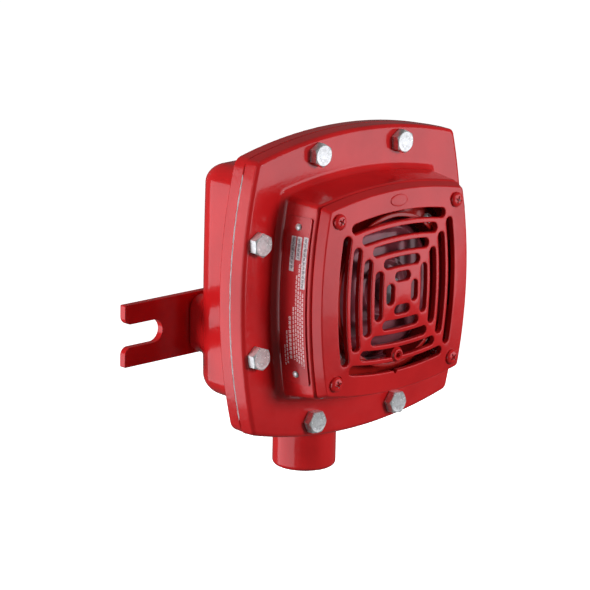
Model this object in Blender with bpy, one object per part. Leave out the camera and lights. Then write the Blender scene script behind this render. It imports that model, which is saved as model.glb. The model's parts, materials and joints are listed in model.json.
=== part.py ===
"""Explosion-proof vibrating horn: cast tub and cover, slotted grille, wall bracket and inner striker.

Metres, +X to the viewer's right, -Y towards the viewer, +Z up. The origin is the middle of the bracket's
wall face. Shapes are worked out in the horn's own terms: x across, depth behind the grille's corners, and
height above the horn's axis. HORN_AT moves those into the part's frame.
"""

from math import asin, atan2, cos, pi, radians, sin, sqrt, tau

import bmesh
import bpy
from mathutils import Matrix, Vector

GAP = 0.0003  # between pieces that touch
RUNNING_GAP = 0.00008  # radial, between the push rod and its bushing
OVERRUN = 0.001  # how far a cutter runs past the face that it cuts

# Where the horn stands on the wall.
WALL_DEPTH = 0.1145
AXIS_HEIGHT = 0.0312
HORN_AT = Vector((0, -WALL_DEPTH, AXIS_HEIGHT))

# How finely round shapes are faceted.
SIDE_STEPS = 9
CORNER_STEPS = 3
ROUND_STEPS = 24
SMALL_STEPS = 12
SHARP_ANGLE = radians(32)

# Machine screws that hold the small pieces.
SCREW_RADIUS = 0.0018
SCREW_TAPPED = 0.0021
SCREW_CLEARANCE = 0.0023
SCREW_HEAD_RADIUS = 0.0034
SCREW_HEAD_HEIGHT = 0.0022

# Bolted flanges.
FLANGE_HALF = 0.082
FLANGE_BULGE = 0.0112
FLANGE_CORNER = 0.003
FLANGE_FRONT = 0.034
PARTING = 0.0442
FLANGE_REAR = 0.054
BOLT_NEAR = 0.034
BOLT_FAR = 0.081
BOLT_FLATS = 0.0127
BOLT_HEAD = 0.0055
BOLT_RADIUS = 0.0039
BOLT_CHAMFER = 0.0007
BOLT_END = 0.051

# Raised box of the front cover, with the sound chamber in front of its partition.
BOX_RIM = 0.0074
BOX_RIM_HALF = 0.0576
BOX_BASE_HALF = 0.0610
BOX_BULGE = 0.006
BOX_EDGE = 0.0007
BOX_FILLET = 0.0035
RIM_WIDTH = 0.0048
CHAMBER_FLOOR = 0.0155
CHAMBER_CORNER = 0.024
RECESS_FLOOR = 0.018
RECESS_RADIUS = 0.0492
PARTITION_REAR = 0.026
CAVITY_HALF = 0.0560
CAVITY_BULGE = 0.005
CAVITY_CORNER = 0.009
GRILLE_TAP_END = 0.0185
CLAMP_TAP_END = 0.0225
MECHANISM_TAP_END = 0.0206

# Flame-path bushing around the push rod, in a boss on the partition.
BUSHING_BOSS_RADIUS = 0.014
BUSHING_SEAT = 0.034
BUSHING_RADIUS = 0.007
BUSHING_FLANGE_RADIUS = 0.011
BUSHING_FLANGE = 0.0018

# Tub of the rear housing.
TUB_HALF = 0.0716
TUB_BULGE = 0.001
TUB_CORNER = 0.013
TUB_DRAFT = 0.0014
TUB_REAR = 0.102
TUB_EDGE = 0.0176
TUB_EDGE_STEPS = 5
TUB_WALL = 0.006
TUB_FLOOR = 0.095
FLOOR_TAP_END = 0.0995
PAD_HALF_WIDTH = 0.066
PAD_HALF_HEIGHT = 0.0178
PAD_CORNER = 0.008
PAD_FRONT = 0.0955
PAD_REAR = 0.1095
PAD_EDGE = 0.0015
HUB_RADIUS = 0.0196
HUB_DEPTH = 0.0757
HUB_TOP = -0.066
HUB_BOTTOM = -0.1239
HUB_EDGE = 0.003
CONDUIT_RADIUS = 0.0122
CONDUIT_TOP = -0.062

# Grille.
GRILLE_HALF = 0.055
GRILLE_BULGE = 0.006
GRILLE_CORNER = 0.0022
GRILLE_SKIRT_HALF = 0.0571
GRILLE_REAR = 0.007
GRILLE_CROWN = 0.0059
GRILLE_SLOPE = 0.12
GRILLE_CROWN_ROUND = 0.008
GRILLE_WALL = 0.0032
SLOT_WIDTH = 0.0059
SLOT_ROWS = 5
SLOT_FIRST = 0.0100
SLOT_PITCH = 0.0089
SLOT_BOW_RADIUS = 0.210
DIAGONAL_RIB = 0.0033
GRILLE_SCREW_AT = 0.04865
GRILLE_SEAT_RADIUS = 0.0052
GRILLE_SEAT = 0.0001
GRILLE_SCREW_HEAD = 0.0024
ADJUSTER_HEIGHT = -0.0386
ADJUSTER_BOSS_RADIUS = 0.0038
ADJUSTER_BOSS_REAR = 0.0025
ADJUSTER_PROUD = 0.0012
ADJUSTER_RADIUS = 0.0015
ADJUSTER_FRONT = -0.0041
ADJUSTER_END = 0.0085
ADJUSTER_SOCKET = 0.0015

# Nameplate on the left wall of the box.
PLATE_FRONT = 0.0105
PLATE_REAR = 0.0285
PLATE_HALF_LENGTH = 0.050
PLATE_THICKNESS = 0.0008
PLATE_OFF_WALL = 0.00042
PLATE_STEPS = 10
RIVET_HEIGHT = 0.044
RIVET_HOLE = 0.0014
RIVET_RADIUS = 0.0011
RIVET_LENGTH = 0.004

# Diaphragm and its clamping.
RING_SCREW_AT = 0.0366
RING_OUTER = 0.0563
RING_THICKNESS = 0.0025
COLLAR_INNER = 0.0440
DIAPHRAGM_RADIUS = 0.0486
NUT_FLATS = 0.016
NUT_FRONT, NUT_REAR = 0.0069, 0.0099
ROD_RADIUS = 0.00295
ROD_FRONT = 0.0062

# Striker mechanism on the rear of the cover's partition.
YOKE_LEG = 0.0325
YOKE_FOOT = 0.044
YOKE_REAR = 0.074
YOKE_HALF_HEIGHT = 0.017
STEEL = 0.0025
ARMATURE_FRONT = 0.040
ARMATURE_REAR = 0.043
POLE_FACE = 0.0442
PIVOT_DEPTH = 0.0435
PIVOT_HEIGHT = 0.032
LEAF_THICKNESS = 0.0005
SPRING_SCREW_AT = (0.0, 0.039)
CONTACT_HEIGHT = -0.028
CONTACT_FACE = 0.0425
CORE_RADIUS = 0.0065
CORE_TAIL_RADIUS = 0.0041
BOBBIN_FRONT = 0.0456
BOBBIN_RADIUS = 0.019
BOBBIN_FLANGE = 0.002
BOBBIN_TUBE = 0.0084
WINDING_RADIUS = 0.0175
MECHANISM_SEAT = PARTITION_REAR + GAP
YOKE_SCREWS_AT = [(sx * 0.0385, sz * 0.010) for sx in (-1, 1) for sz in (1, -1)]
POST_SCREWS_AT = [(-0.005, 0.0485), (0.005, 0.0485)]
BLOCK_SCREWS_AT = [(-0.005, -0.0465), (0.005, -0.0465)]
MECHANISM_SCREWS_AT = YOKE_SCREWS_AT + POST_SCREWS_AT + BLOCK_SCREWS_AT

# Wiring on the tub's floor.
TERMINAL_HALF_LENGTH = 0.018
TERMINAL_LOW, TERMINAL_HIGH = 0.036, 0.052
TERMINAL_SCREW_AT = (0.0, 0.044)
TERMINAL_WIRES_AT = [(-0.011, 0.044), (0.011, 0.044)]
TERMINAL_BARRIERS = (-0.0172, -0.0052, 0.0052, 0.0172)
TERMINAL_DEPTH = 0.008
GROUND_SCREW_AT = (-0.038, -0.040)

# Wall bracket, centred on the height of the pad.
BRACKET_HALF_LENGTH = 0.1165
BRACKET_HALF_HEIGHT = 0.01905
BRACKET_THICKNESS = 0.0047
BRACKET_SLOT_DEPTH = 0.0297
BRACKET_SLOT_RADIUS = 0.007
BRACKET_MOUTH_RADIUS = 0.005
BRACKET_SCREW_AT = 0.032
BRACKET_TAP_RADIUS = 0.0033
BRACKET_TAP_END = 0.0990

FRONTWARD = Vector((0, -1, 0))
REARWARD = Vector((0, 1, 0))

MATERIALS = {
    "red_enamel": ((0.58, 0.015, 0.02), 0.25, 0.0),
    "grille_enamel": ((0.60, 0.02, 0.03), 0.30, 0.0),
    "zinc": ((0.78, 0.79, 0.78), 0.35, 1.0),
    "steel": ((0.55, 0.55, 0.56), 0.40, 1.0),
    "brass": ((0.72, 0.53, 0.22), 0.35, 1.0),
    "copper_winding": ((0.55, 0.20, 0.06), 0.40, 0.6),
    "black_plastic": ((0.02, 0.02, 0.022), 0.45, 0.0),
    "gasket": ((0.05, 0.05, 0.05), 0.80, 0.0),
    "nameplate": ((0.45, 0.02, 0.03), 0.35, 0.2),
    "green_screw": ((0.05, 0.30, 0.08), 0.40, 0.5),
    "lead_insulation": ((0.03, 0.03, 0.03), 0.50, 0.0),
}


# ---------------------------------------------------------------- scene and objects


def clear_scene():
    for obj in list(bpy.data.objects):
        bpy.data.objects.remove(obj)


def make_material(name):
    colour, roughness, metallic = MATERIALS[name]
    material = bpy.data.materials.new(name)
    material.use_nodes = True
    shader = material.node_tree.nodes["Principled BSDF"]
    shader.inputs["Base Color"].default_value = (*colour, 1)
    shader.inputs["Roughness"].default_value = roughness
    shader.inputs["Metallic"].default_value = metallic
    material.diffuse_color = (*colour, 1)
    return material


def material_named(name):
    return bpy.data.materials.get(name) or make_material(name)


def mesh_from(bm, name):
    """Turn a bmesh into a mesh with outward faces, smooth except at real edges."""
    bmesh.ops.recalc_face_normals(bm, faces=bm.faces)
    mesh = bpy.data.meshes.new(name)
    bm.to_mesh(mesh)
    bm.free()
    mesh.shade_smooth()
    mesh.set_sharp_from_angle(angle=SHARP_ANGLE)
    return mesh


def add_object(name, mesh, material, at=(0, 0, 0), facing=None):
    """Place a mesh in the horn's terms. A fastener runs along +Z, which is turned to face `facing`."""
    obj = bpy.data.objects.new(name, mesh)
    bpy.context.scene.collection.objects.link(obj)
    obj.location = HORN_AT + Vector(at)
    if facing is not None:
        obj.rotation_euler = facing.to_track_quat("Z", "Y").to_euler()
    if material and not mesh.materials:
        mesh.materials.append(material_named(material))
    return obj


def add_piece(name, bm, material, at=(0, 0, 0), facing=None):
    return add_object(name, mesh_from(bm, name), material, at, facing)


def add_tool(name, bm):
    """A shape that only cuts or joins: never rendered."""
    tool = add_object(name, mesh_from(bm, name), None)
    tool.hide_render = True
    tool.display_type = "WIRE"
    return tool


def combine(obj, bm, operation):
    tool = add_tool(f"{obj.name}_{operation.lower()}_{len(obj.modifiers)}", bm)
    modifier = obj.modifiers.new(tool.name, "BOOLEAN")
    modifier.operation = operation
    modifier.object = tool
    modifier.solver = "EXACT"


def cut(obj, bm):
    combine(obj, bm, "DIFFERENCE")


def join(obj, bm):
    combine(obj, bm, "UNION")


# ---------------------------------------------------------------- outlines, as (x, height) points


def arc(centre, radius, start, end, steps):
    angles = [start + (end - start) * i / steps for i in range(steps + 1)]
    return [(centre[0] + radius * cos(a), centre[1] + radius * sin(a)) for a in angles]


def turned_about_axis(points, angle):
    c, s = cos(angle), sin(angle)
    return [(x * c - z * s, x * s + z * c) for x, z in points]


def bowed_square(half, bulge, corner):
    """A square of corners at +-half whose sides bow outwards by bulge, with its corners rounded."""
    side_radius = (half**2 + bulge**2) / (2 * bulge)
    side_centre = half + bulge - side_radius
    pivot = (side_centre + sqrt(2 * (side_radius - corner) ** 2 - side_centre**2)) / 2
    meet = atan2(pivot - side_centre, pivot)
    side = arc((side_centre, 0), side_radius, meet - pi / 2, pi / 2 - meet, SIDE_STEPS)
    fillet = arc((pivot, pivot), corner, pi / 2 - meet, meet, CORNER_STEPS)
    quarter = side[:-1] + fillet[:-1]
    return [point for turn in range(4) for point in turned_about_axis(quarter, turn * pi / 2)]


def side_reach(half, bulge, height):
    """How far out a bowed side is at this height."""
    side_radius = (half**2 + bulge**2) / (2 * bulge)
    return half + bulge - side_radius + sqrt(side_radius**2 - height**2)


def circle(radius, steps=ROUND_STEPS):
    return arc((0, 0), radius, 0, tau, steps)[:-1]


def hexagon(flats, steps=ROUND_STEPS):
    """A hexagon with as many points as a circle, so that the two can be lofted together."""
    points = []
    for i in range(steps):
        angle = tau * i / steps
        from_flat = (angle + pi / 6) % (pi / 3) - pi / 6
        points.append((flats / 2 / cos(from_flat) * cos(angle), flats / 2 / cos(from_flat) * sin(angle)))
    return points


def capsule(row, side):
    """Outline of one grille slot: a bowed bar with round ends, on the given side."""
    half_width = SLOT_WIDTH / 2
    centre = SLOT_FIRST + SLOT_PITCH * row - SLOT_BOW_RADIUS
    # The ends' centres lie on a line beside the diagonal, which leaves a rib of even width along it.
    beside = centre - (SLOT_WIDTH + DIAGONAL_RIB) / sqrt(2)
    reach = asin((beside + sqrt(2 * SLOT_BOW_RADIUS**2 - beside**2)) / 2 / SLOT_BOW_RADIUS)
    steps = 2 + 2 * row
    outer = arc((0, centre), SLOT_BOW_RADIUS + half_width, pi / 2 - reach, pi / 2 + reach, steps)
    inner = arc((0, centre), SLOT_BOW_RADIUS - half_width, pi / 2 + reach, pi / 2 - reach, steps)
    end = (SLOT_BOW_RADIUS * sin(reach), centre + SLOT_BOW_RADIUS * cos(reach))
    left_end = arc((-end[0], end[1]), half_width, pi / 2 + reach, 3 * pi / 2 + reach, 6)[1:-1]
    right_end = arc(end, half_width, -pi / 2 - reach, pi / 2 - reach, 6)[1:-1]
    return turned_about_axis(outer + left_end + inner + right_end, side * pi / 2)


# ---------------------------------------------------------------- solids


def at_depth(points, depth):
    return [(x, depth, z) for x, z in points]


def loft(bm, sections, closed=False):
    """Skin a stack of sections with equal point counts. A closed stack joins its last to its first."""
    rings = [[bm.verts.new(point) for point in section] for section in sections]
    following = rings[1:] + (rings[:1] if closed else [])
    for ring, after in zip(rings, following):
        for i, vert in enumerate(ring):
            j = (i + 1) % len(ring)
            bm.faces.new((vert, ring[j], after[j], after[i]))
    if not closed:
        bm.faces.new(rings[0])
        bm.faces.new(rings[-1])
    return bm


def lofted(stations, closed=False):
    """A solid from (outline, depth) stations along the horn's axis."""
    return loft(bmesh.new(), [at_depth(outline, depth) for outline, depth in stations], closed)


def turned(profile, steps=ROUND_STEPS):
    """A ring turned about the horn's axis from a closed (radius, depth) profile."""
    return lofted([(circle(radius, steps), depth) for radius, depth in profile], closed=True)


def prism(bm, points, low, high, axis="Y"):
    """Extrude an outline along an axis. Its pairs are the other two coordinates, in X, Y, Z order."""
    place = {
        "X": lambda a, b, t: (t, a, b),
        "Y": lambda a, b, t: (a, t, b),
        "Z": lambda a, b, t: (a, b, t),
    }[axis]
    return loft(bm, [[place(a, b, t) for a, b in points] for t in (low, high)])


def block(bm, low, high):
    corners = [(low[0], low[1]), (high[0], low[1]), (high[0], high[1]), (low[0], high[1])]
    return prism(bm, corners, low[2], high[2], axis="Z")


def rod(bm, start, end, radius, steps=SMALL_STEPS):
    """A cylinder from start to end."""
    start, end = Vector(start), Vector(end)
    along = end - start
    matrix = Matrix.Translation((start + end) / 2) @ along.to_track_quat("Z", "Y").to_matrix().to_4x4()
    bmesh.ops.create_cone(
        bm,
        cap_ends=True,
        segments=steps,
        radius1=radius,
        radius2=radius,
        depth=along.length,
        matrix=matrix,
    )
    return bm


def holes(places, start, end, radius, steps=SMALL_STEPS):
    """Cutters along the horn's axis, one at each (x, height)."""
    bm = bmesh.new()
    for x, z in places:
        rod(bm, (x, start, z), (x, end, z), radius, steps)
    return bm


# ---------------------------------------------------------------- fasteners, along +Z, seat at z = 0


def fastener_mesh(name, head, shank_radius, length, steps=SMALL_STEPS):
    """A headed fastener: head is a list of (outline, height) from the seat up, the shank runs down."""
    shank = circle(shank_radius, steps)
    stations = [(shank, -length), (shank, 0)] + head
    return mesh_from(loft(bmesh.new(), [[(x, y, z) for x, y in o] for o, z in stations]), name)


def hex_head(flats, height, steps=SMALL_STEPS):
    return [
        (hexagon(flats, steps), 0),
        (hexagon(flats, steps), height - BOLT_CHAMFER),
        (circle(flats * 0.47, steps), height),
    ]


def pan_head(radius, height, steps=SMALL_STEPS):
    return [
        (circle(radius, steps), 0),
        (circle(radius, steps), height * 0.35),
        (circle(radius * 0.82, steps), height * 0.8),
        (circle(radius * 0.45, steps), height),
    ]


def cut_recess(mesh, bm, name):
    """Cut a driving recess into a fastener's mesh once, so that its copies can share it."""
    blank = add_object("recess_blank", mesh, None)
    cut(blank, bm)
    recessed = bpy.data.meshes.new_from_object(blank.evaluated_get(bpy.context.evaluated_depsgraph_get()))
    tool = blank.modifiers[0].object
    bpy.data.objects.remove(tool)
    bpy.data.objects.remove(blank)
    recessed.name = name
    return recessed


def cross_recess(width, thickness, top, depth):
    """Two tapered wings that cross, as one cutter."""
    bm = bmesh.new()
    reach, half = width / 2, thickness / 2
    plus = [
        (reach, -half), (reach, half), (half, half), (half, reach), (-half, reach), (-half, half),
        (-reach, half), (-reach, -half), (-half, -half), (-half, -reach), (half, -reach), (half, -half),
    ]  # fmt: skip
    taper = 0.55
    levels = ((top - depth, taper), (top + depth, 2 - taper))
    loft(bm, [[(x * scale, y * scale, z) for x, y in plus] for z, scale in levels])
    bmesh.ops.translate(bm, verts=bm.verts, vec=HORN_AT)
    return bm


def add_copies(base, mesh, material, places, facing):
    for number, place in enumerate(places, start=1):
        add_object(f"{base}_{number}", mesh, material, place, facing)


def corners_at(near, far=None):
    """The eight places of a pattern mirrored in both axes, or four where near equals far."""
    far = near if far is None else far
    places = [(sx * a, sz * b) for a, b in ((near, far), (far, near)) for sx in (-1, 1) for sz in (1, -1)]
    return list(dict.fromkeys(places))


# ---------------------------------------------------------------- castings


def rear_edge_stations():
    """The tub's rounded rear edge, from its side to its flat back."""
    stations = []
    for i in range(TUB_EDGE_STEPS + 1):
        angle = pi / 2 * i / TUB_EDGE_STEPS
        inward = TUB_EDGE * (1 - cos(angle))
        corner = TUB_CORNER - 0.5 * inward
        depth = TUB_REAR - TUB_EDGE + TUB_EDGE * sin(angle)
        stations.append((bowed_square(TUB_HALF - TUB_DRAFT - inward, TUB_BULGE, corner), depth))
    return stations


def pad_outline(inset):
    """The pad seen from behind, a rectangle with round corners, drawn in by inset."""
    across, up, corner = PAD_HALF_WIDTH - PAD_CORNER, PAD_HALF_HEIGHT - PAD_CORNER, PAD_CORNER - inset
    outline = []
    for turn, (side, rise) in enumerate(((1, 1), (-1, 1), (-1, -1), (1, -1))):
        centre = (side * across, rise * up - AXIS_HEIGHT)
        outline += arc(centre, corner, turn * pi / 2, (turn + 1) * pi / 2, 4)
    return outline


def wall_pad():
    """The pad across the tub's back that the bracket bolts to."""
    levels = ((0, PAD_FRONT), (0, PAD_REAR - PAD_EDGE), (PAD_EDGE, PAD_REAR))
    return lofted([(pad_outline(inset), depth) for inset, depth in levels])


def conduit_hub():
    eased = 0.3 * HUB_EDGE
    levels = [
        (HUB_RADIUS, HUB_TOP),
        (HUB_RADIUS, HUB_BOTTOM + HUB_EDGE),
        (HUB_RADIUS - eased, HUB_BOTTOM + eased),
        (HUB_RADIUS - HUB_EDGE, HUB_BOTTOM),
    ]
    sections = [[(x, HUB_DEPTH + y, z) for x, y in circle(radius)] for radius, z in levels]
    return loft(bmesh.new(), sections)


def conduit_bore():
    top, bottom = (0, HUB_DEPTH, CONDUIT_TOP), (0, HUB_DEPTH, HUB_BOTTOM - OVERRUN)
    return rod(bmesh.new(), top, bottom, CONDUIT_RADIUS, ROUND_STEPS)


def make_rear_housing():
    inner = TUB_HALF - TUB_WALL
    face = PARTING + GAP / 2
    stations = [
        (bowed_square(inner - 0.006, TUB_BULGE, 0.008), TUB_FLOOR),
        (bowed_square(inner - 0.0015, TUB_BULGE, 0.009), TUB_FLOOR - 0.005),
        (bowed_square(inner, TUB_BULGE, 0.009), face),
        (bowed_square(FLANGE_HALF, FLANGE_BULGE, FLANGE_CORNER), face),
        (bowed_square(FLANGE_HALF - 0.0005, FLANGE_BULGE, FLANGE_CORNER), FLANGE_REAR - 0.0008),
        (bowed_square(FLANGE_HALF - 0.0013, FLANGE_BULGE, FLANGE_CORNER), FLANGE_REAR),
        (bowed_square(TUB_HALF + 0.0012, TUB_BULGE, TUB_CORNER), FLANGE_REAR),
        (bowed_square(TUB_HALF, TUB_BULGE, TUB_CORNER), FLANGE_REAR + 0.0015),
    ]
    housing = add_piece("rear_housing", lofted(stations + rear_edge_stations()), "red_enamel")
    join(housing, wall_pad())
    join(housing, conduit_hub())
    cut(housing, conduit_bore())
    bolts = corners_at(BOLT_NEAR, BOLT_FAR)
    cut(housing, holes(bolts, PARTING - OVERRUN, BOLT_END + 0.0005, BOLT_RADIUS + GAP))
    bracket_screws = [(side * BRACKET_SCREW_AT, -AXIS_HEIGHT) for side in (-1, 1)]
    cut(housing, holes(bracket_screws, PAD_REAR + OVERRUN, BRACKET_TAP_END, BRACKET_TAP_RADIUS))
    floor_screws = [TERMINAL_SCREW_AT, GROUND_SCREW_AT]
    cut(housing, holes(floor_screws, TUB_FLOOR - OVERRUN, FLOOR_TAP_END, SCREW_CLEARANCE))


def make_front_cover():
    wall_half = BOX_RIM_HALF - RIM_WIDTH
    face = PARTING - GAP / 2
    stations = [
        (bowed_square(wall_half - 0.0005, BOX_BULGE, CHAMBER_CORNER), CHAMBER_FLOOR),
        (bowed_square(wall_half, BOX_BULGE, CHAMBER_CORNER), BOX_RIM),
        (bowed_square(BOX_RIM_HALF - BOX_EDGE, BOX_BULGE, 0.003), BOX_RIM),
        (bowed_square(BOX_RIM_HALF, BOX_BULGE, 0.003), BOX_RIM + BOX_EDGE),
        (bowed_square(BOX_BASE_HALF - 0.001, BOX_BULGE, 0.004), FLANGE_FRONT - BOX_FILLET),
        (bowed_square(BOX_BASE_HALF, BOX_BULGE, 0.005), FLANGE_FRONT - 0.0012),
        (bowed_square(BOX_BASE_HALF + 0.0025, BOX_BULGE, 0.006), FLANGE_FRONT),
        (bowed_square(FLANGE_HALF - 0.0018, FLANGE_BULGE, FLANGE_CORNER), FLANGE_FRONT),
        (bowed_square(FLANGE_HALF - 0.0008, FLANGE_BULGE, FLANGE_CORNER), FLANGE_FRONT + 0.001),
        (bowed_square(FLANGE_HALF, FLANGE_BULGE, FLANGE_CORNER), face),
        (bowed_square(CAVITY_HALF, CAVITY_BULGE, CAVITY_CORNER), face),
        (bowed_square(CAVITY_HALF - 0.002, CAVITY_BULGE, CAVITY_CORNER), PARTITION_REAR),
    ]
    cover = add_piece("front_cover", lofted(stations), "red_enamel")
    axis = [(0, 0)]
    join(cover, holes(axis, PARTITION_REAR - OVERRUN, BUSHING_SEAT, BUSHING_BOSS_RADIUS, ROUND_STEPS))
    cut(cover, holes(axis, 0.010, RECESS_FLOOR, RECESS_RADIUS, 2 * ROUND_STEPS))
    cut(cover, holes(axis, 0.012, BUSHING_SEAT + OVERRUN, BUSHING_RADIUS + GAP, ROUND_STEPS))
    bolts = corners_at(BOLT_NEAR, BOLT_FAR)
    cut(cover, holes(bolts, FLANGE_FRONT - OVERRUN, PARTING + OVERRUN, BOLT_RADIUS + GAP))
    cut(cover, holes(corners_at(GRILLE_SCREW_AT), BOX_RIM - OVERRUN, GRILLE_TAP_END, SCREW_TAPPED))
    cut(cover, holes(corners_at(RING_SCREW_AT), CHAMBER_FLOOR - OVERRUN, CLAMP_TAP_END, SCREW_TAPPED))
    cut(cover, holes(MECHANISM_SCREWS_AT, PARTITION_REAR + OVERRUN, MECHANISM_TAP_END, SCREW_TAPPED))
    cut(cover, rivet_holes(0.0042))


# ---------------------------------------------------------------- grille and nameplate


def crown_depth(scale):
    """Depth of the grille's face, a low pyramid with a rounded tip, on its outline scaled by `scale`."""
    reach = scale * (GRILLE_HALF + GRILLE_BULGE)
    rise = sqrt(reach**2 + GRILLE_CROWN_ROUND**2) - GRILLE_CROWN_ROUND
    return GRILLE_SLOPE * rise - GRILLE_CROWN


def face_outline(scale):
    return bowed_square(GRILLE_HALF * scale, GRILLE_BULGE * scale, GRILLE_CORNER * scale)


def slot_cutters():
    bm = bmesh.new()
    for row in range(SLOT_ROWS):
        for side in range(4):
            prism(bm, capsule(row, side), -0.010, 0.0055)
    return bm


def make_grille():
    scales = [0.05, 0.15, 0.3, 0.5, 0.75, 0.93]
    inner = [(face_outline(scale), crown_depth(scale) + GRILLE_WALL) for scale in scales]
    outer = [(face_outline(scale), crown_depth(scale)) for scale in reversed(scales)]
    skirt = [
        (bowed_square(GRILLE_SKIRT_HALF - 0.0045, GRILLE_BULGE, GRILLE_CORNER), GRILLE_REAR),
        (bowed_square(GRILLE_SKIRT_HALF, GRILLE_BULGE, GRILLE_CORNER), GRILLE_REAR),
        (bowed_square(GRILLE_HALF + 0.0003, GRILLE_BULGE, GRILLE_CORNER), 0.0012),
        (face_outline(0.99), crown_depth(0.99)),
    ]
    grille = add_piece("grille", lofted(inner + skirt + outer), "grille_enamel")
    cut(grille, slot_cutters())
    boss_at = [(0, ADJUSTER_HEIGHT)]
    boss_front = crown_depth(-ADJUSTER_HEIGHT / GRILLE_HALF) - ADJUSTER_PROUD
    join(grille, holes(boss_at, boss_front, ADJUSTER_BOSS_REAR, ADJUSTER_BOSS_RADIUS, 16))
    cut(grille, holes(boss_at, boss_front - OVERRUN, 0.006, ADJUSTER_RADIUS + 0.00035))
    corners = corners_at(GRILLE_SCREW_AT)
    cut(grille, holes(corners, -0.004, GRILLE_SEAT, GRILLE_SEAT_RADIUS, ROUND_STEPS))
    cut(grille, holes(corners, -0.001, 0.006, SCREW_CLEARANCE))


def make_output_adjuster():
    """Socket-head grub screw in the grille's boss, on its own turning axis."""
    bm = prism(bmesh.new(), circle(ADJUSTER_RADIUS, SMALL_STEPS), ADJUSTER_FRONT, ADJUSTER_END)
    at = (0, 0, ADJUSTER_HEIGHT)
    screw = add_piece("output_adjusting_screw", bm, "zinc", at)
    mouth, bottom = ADJUSTER_FRONT - OVERRUN, ADJUSTER_FRONT + 0.002
    socket = prism(bmesh.new(), hexagon(ADJUSTER_SOCKET, 6), mouth, bottom)
    bmesh.ops.translate(socket, verts=socket.verts, vec=at)
    cut(screw, socket)


def box_wall(depth, height):
    """A point on the outer face of the box's left wall."""
    front = BOX_RIM + BOX_EDGE
    run = (depth - front) / (FLANGE_FRONT - BOX_FILLET - front)
    half = BOX_RIM_HALF + run * (BOX_BASE_HALF - 0.001 - BOX_RIM_HALF)
    return Vector((-side_reach(half, BOX_BULGE, height), depth, height))


def wall_normal(depth, height):
    step = 0.001
    along = box_wall(depth, height + step) - box_wall(depth, height - step)
    back = box_wall(depth + step, height) - box_wall(depth - step, height)
    across = along.cross(back).normalized()
    return -across if across.x > 0 else across


def rivet_places():
    """Where each rivet goes through the wall, and the way that its head faces."""
    depth = (PLATE_FRONT + PLATE_REAR) / 2
    heights = (RIVET_HEIGHT, -RIVET_HEIGHT)
    return [(box_wall(depth, height), wall_normal(depth, height)) for height in heights]


def rivet_holes(inward):
    bm = bmesh.new()
    for place, outward in rivet_places():
        rod(bm, place + 0.004 * outward, place - inward * outward, RIVET_HOLE)
    return bm


def make_nameplate():
    """A thin plate that follows the bowed wall, held by two drive rivets."""
    sections = []
    for i in range(PLATE_STEPS + 1):
        height = PLATE_HALF_LENGTH * (2 * i / PLATE_STEPS - 1)
        section = []
        for depth, lift in ((PLATE_FRONT, 0), (PLATE_REAR, 0), (PLATE_REAR, 1), (PLATE_FRONT, 1)):
            off_wall = PLATE_OFF_WALL + lift * PLATE_THICKNESS
            section.append(box_wall(depth, height) + off_wall * wall_normal(depth, height))
        sections.append(section)
    plate = add_piece("nameplate", loft(bmesh.new(), sections), "nameplate")
    cut(plate, rivet_holes(0.002))
    mesh = fastener_mesh("nameplate_rivet", pan_head(0.0021, 0.0014), RIVET_RADIUS, RIVET_LENGTH)
    seat = PLATE_OFF_WALL + PLATE_THICKNESS + GAP
    for number, (place, outward) in enumerate(rivet_places(), start=1):
        add_object(f"nameplate_rivet_{number}", mesh, "zinc", place + seat * outward, outward)


# ---------------------------------------------------------------- outside fasteners and bracket


def make_cover_bolts():
    length = BOLT_END - FLANGE_FRONT
    mesh = fastener_mesh("cover_bolt", hex_head(BOLT_FLATS, BOLT_HEAD), BOLT_RADIUS, length)
    places = [(x, FLANGE_FRONT - GAP, z) for x, z in corners_at(BOLT_NEAR, BOLT_FAR)]
    add_copies("cover_bolt", mesh, "zinc", places, FRONTWARD)


def make_grille_screws():
    head = pan_head(0.0046, GRILLE_SCREW_HEAD, 16)
    blank = fastener_mesh("grille_screw_blank", head, SCREW_RADIUS, 0.018, 16)
    mesh = cut_recess(blank, cross_recess(0.0048, 0.0011, GRILLE_SCREW_HEAD, 0.0014), "grille_screw")
    places = [(x, GRILLE_SEAT - GAP, z) for x, z in corners_at(GRILLE_SCREW_AT)]
    add_copies("grille_screw", mesh, "grille_enamel", places, FRONTWARD)


def bracket_outline():
    """Flat bar with an open slot at each end, as (x, height) from its own middle."""
    half_slot, mouth = BRACKET_SLOT_RADIUS, BRACKET_MOUTH_RADIUS
    end = BRACKET_HALF_LENGTH
    closed_end = end - BRACKET_SLOT_DEPTH + half_slot
    upper = [(end, BRACKET_HALF_HEIGHT)]
    upper += arc((end - mouth, half_slot + mouth), mouth, 0, -pi / 2, 4)
    upper += arc((closed_end, 0), half_slot, pi / 2, pi, 6)
    right = upper + [(x, -z) for x, z in reversed(upper[:-1])]
    return right + [(-x, -z) for x, z in right]


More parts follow.
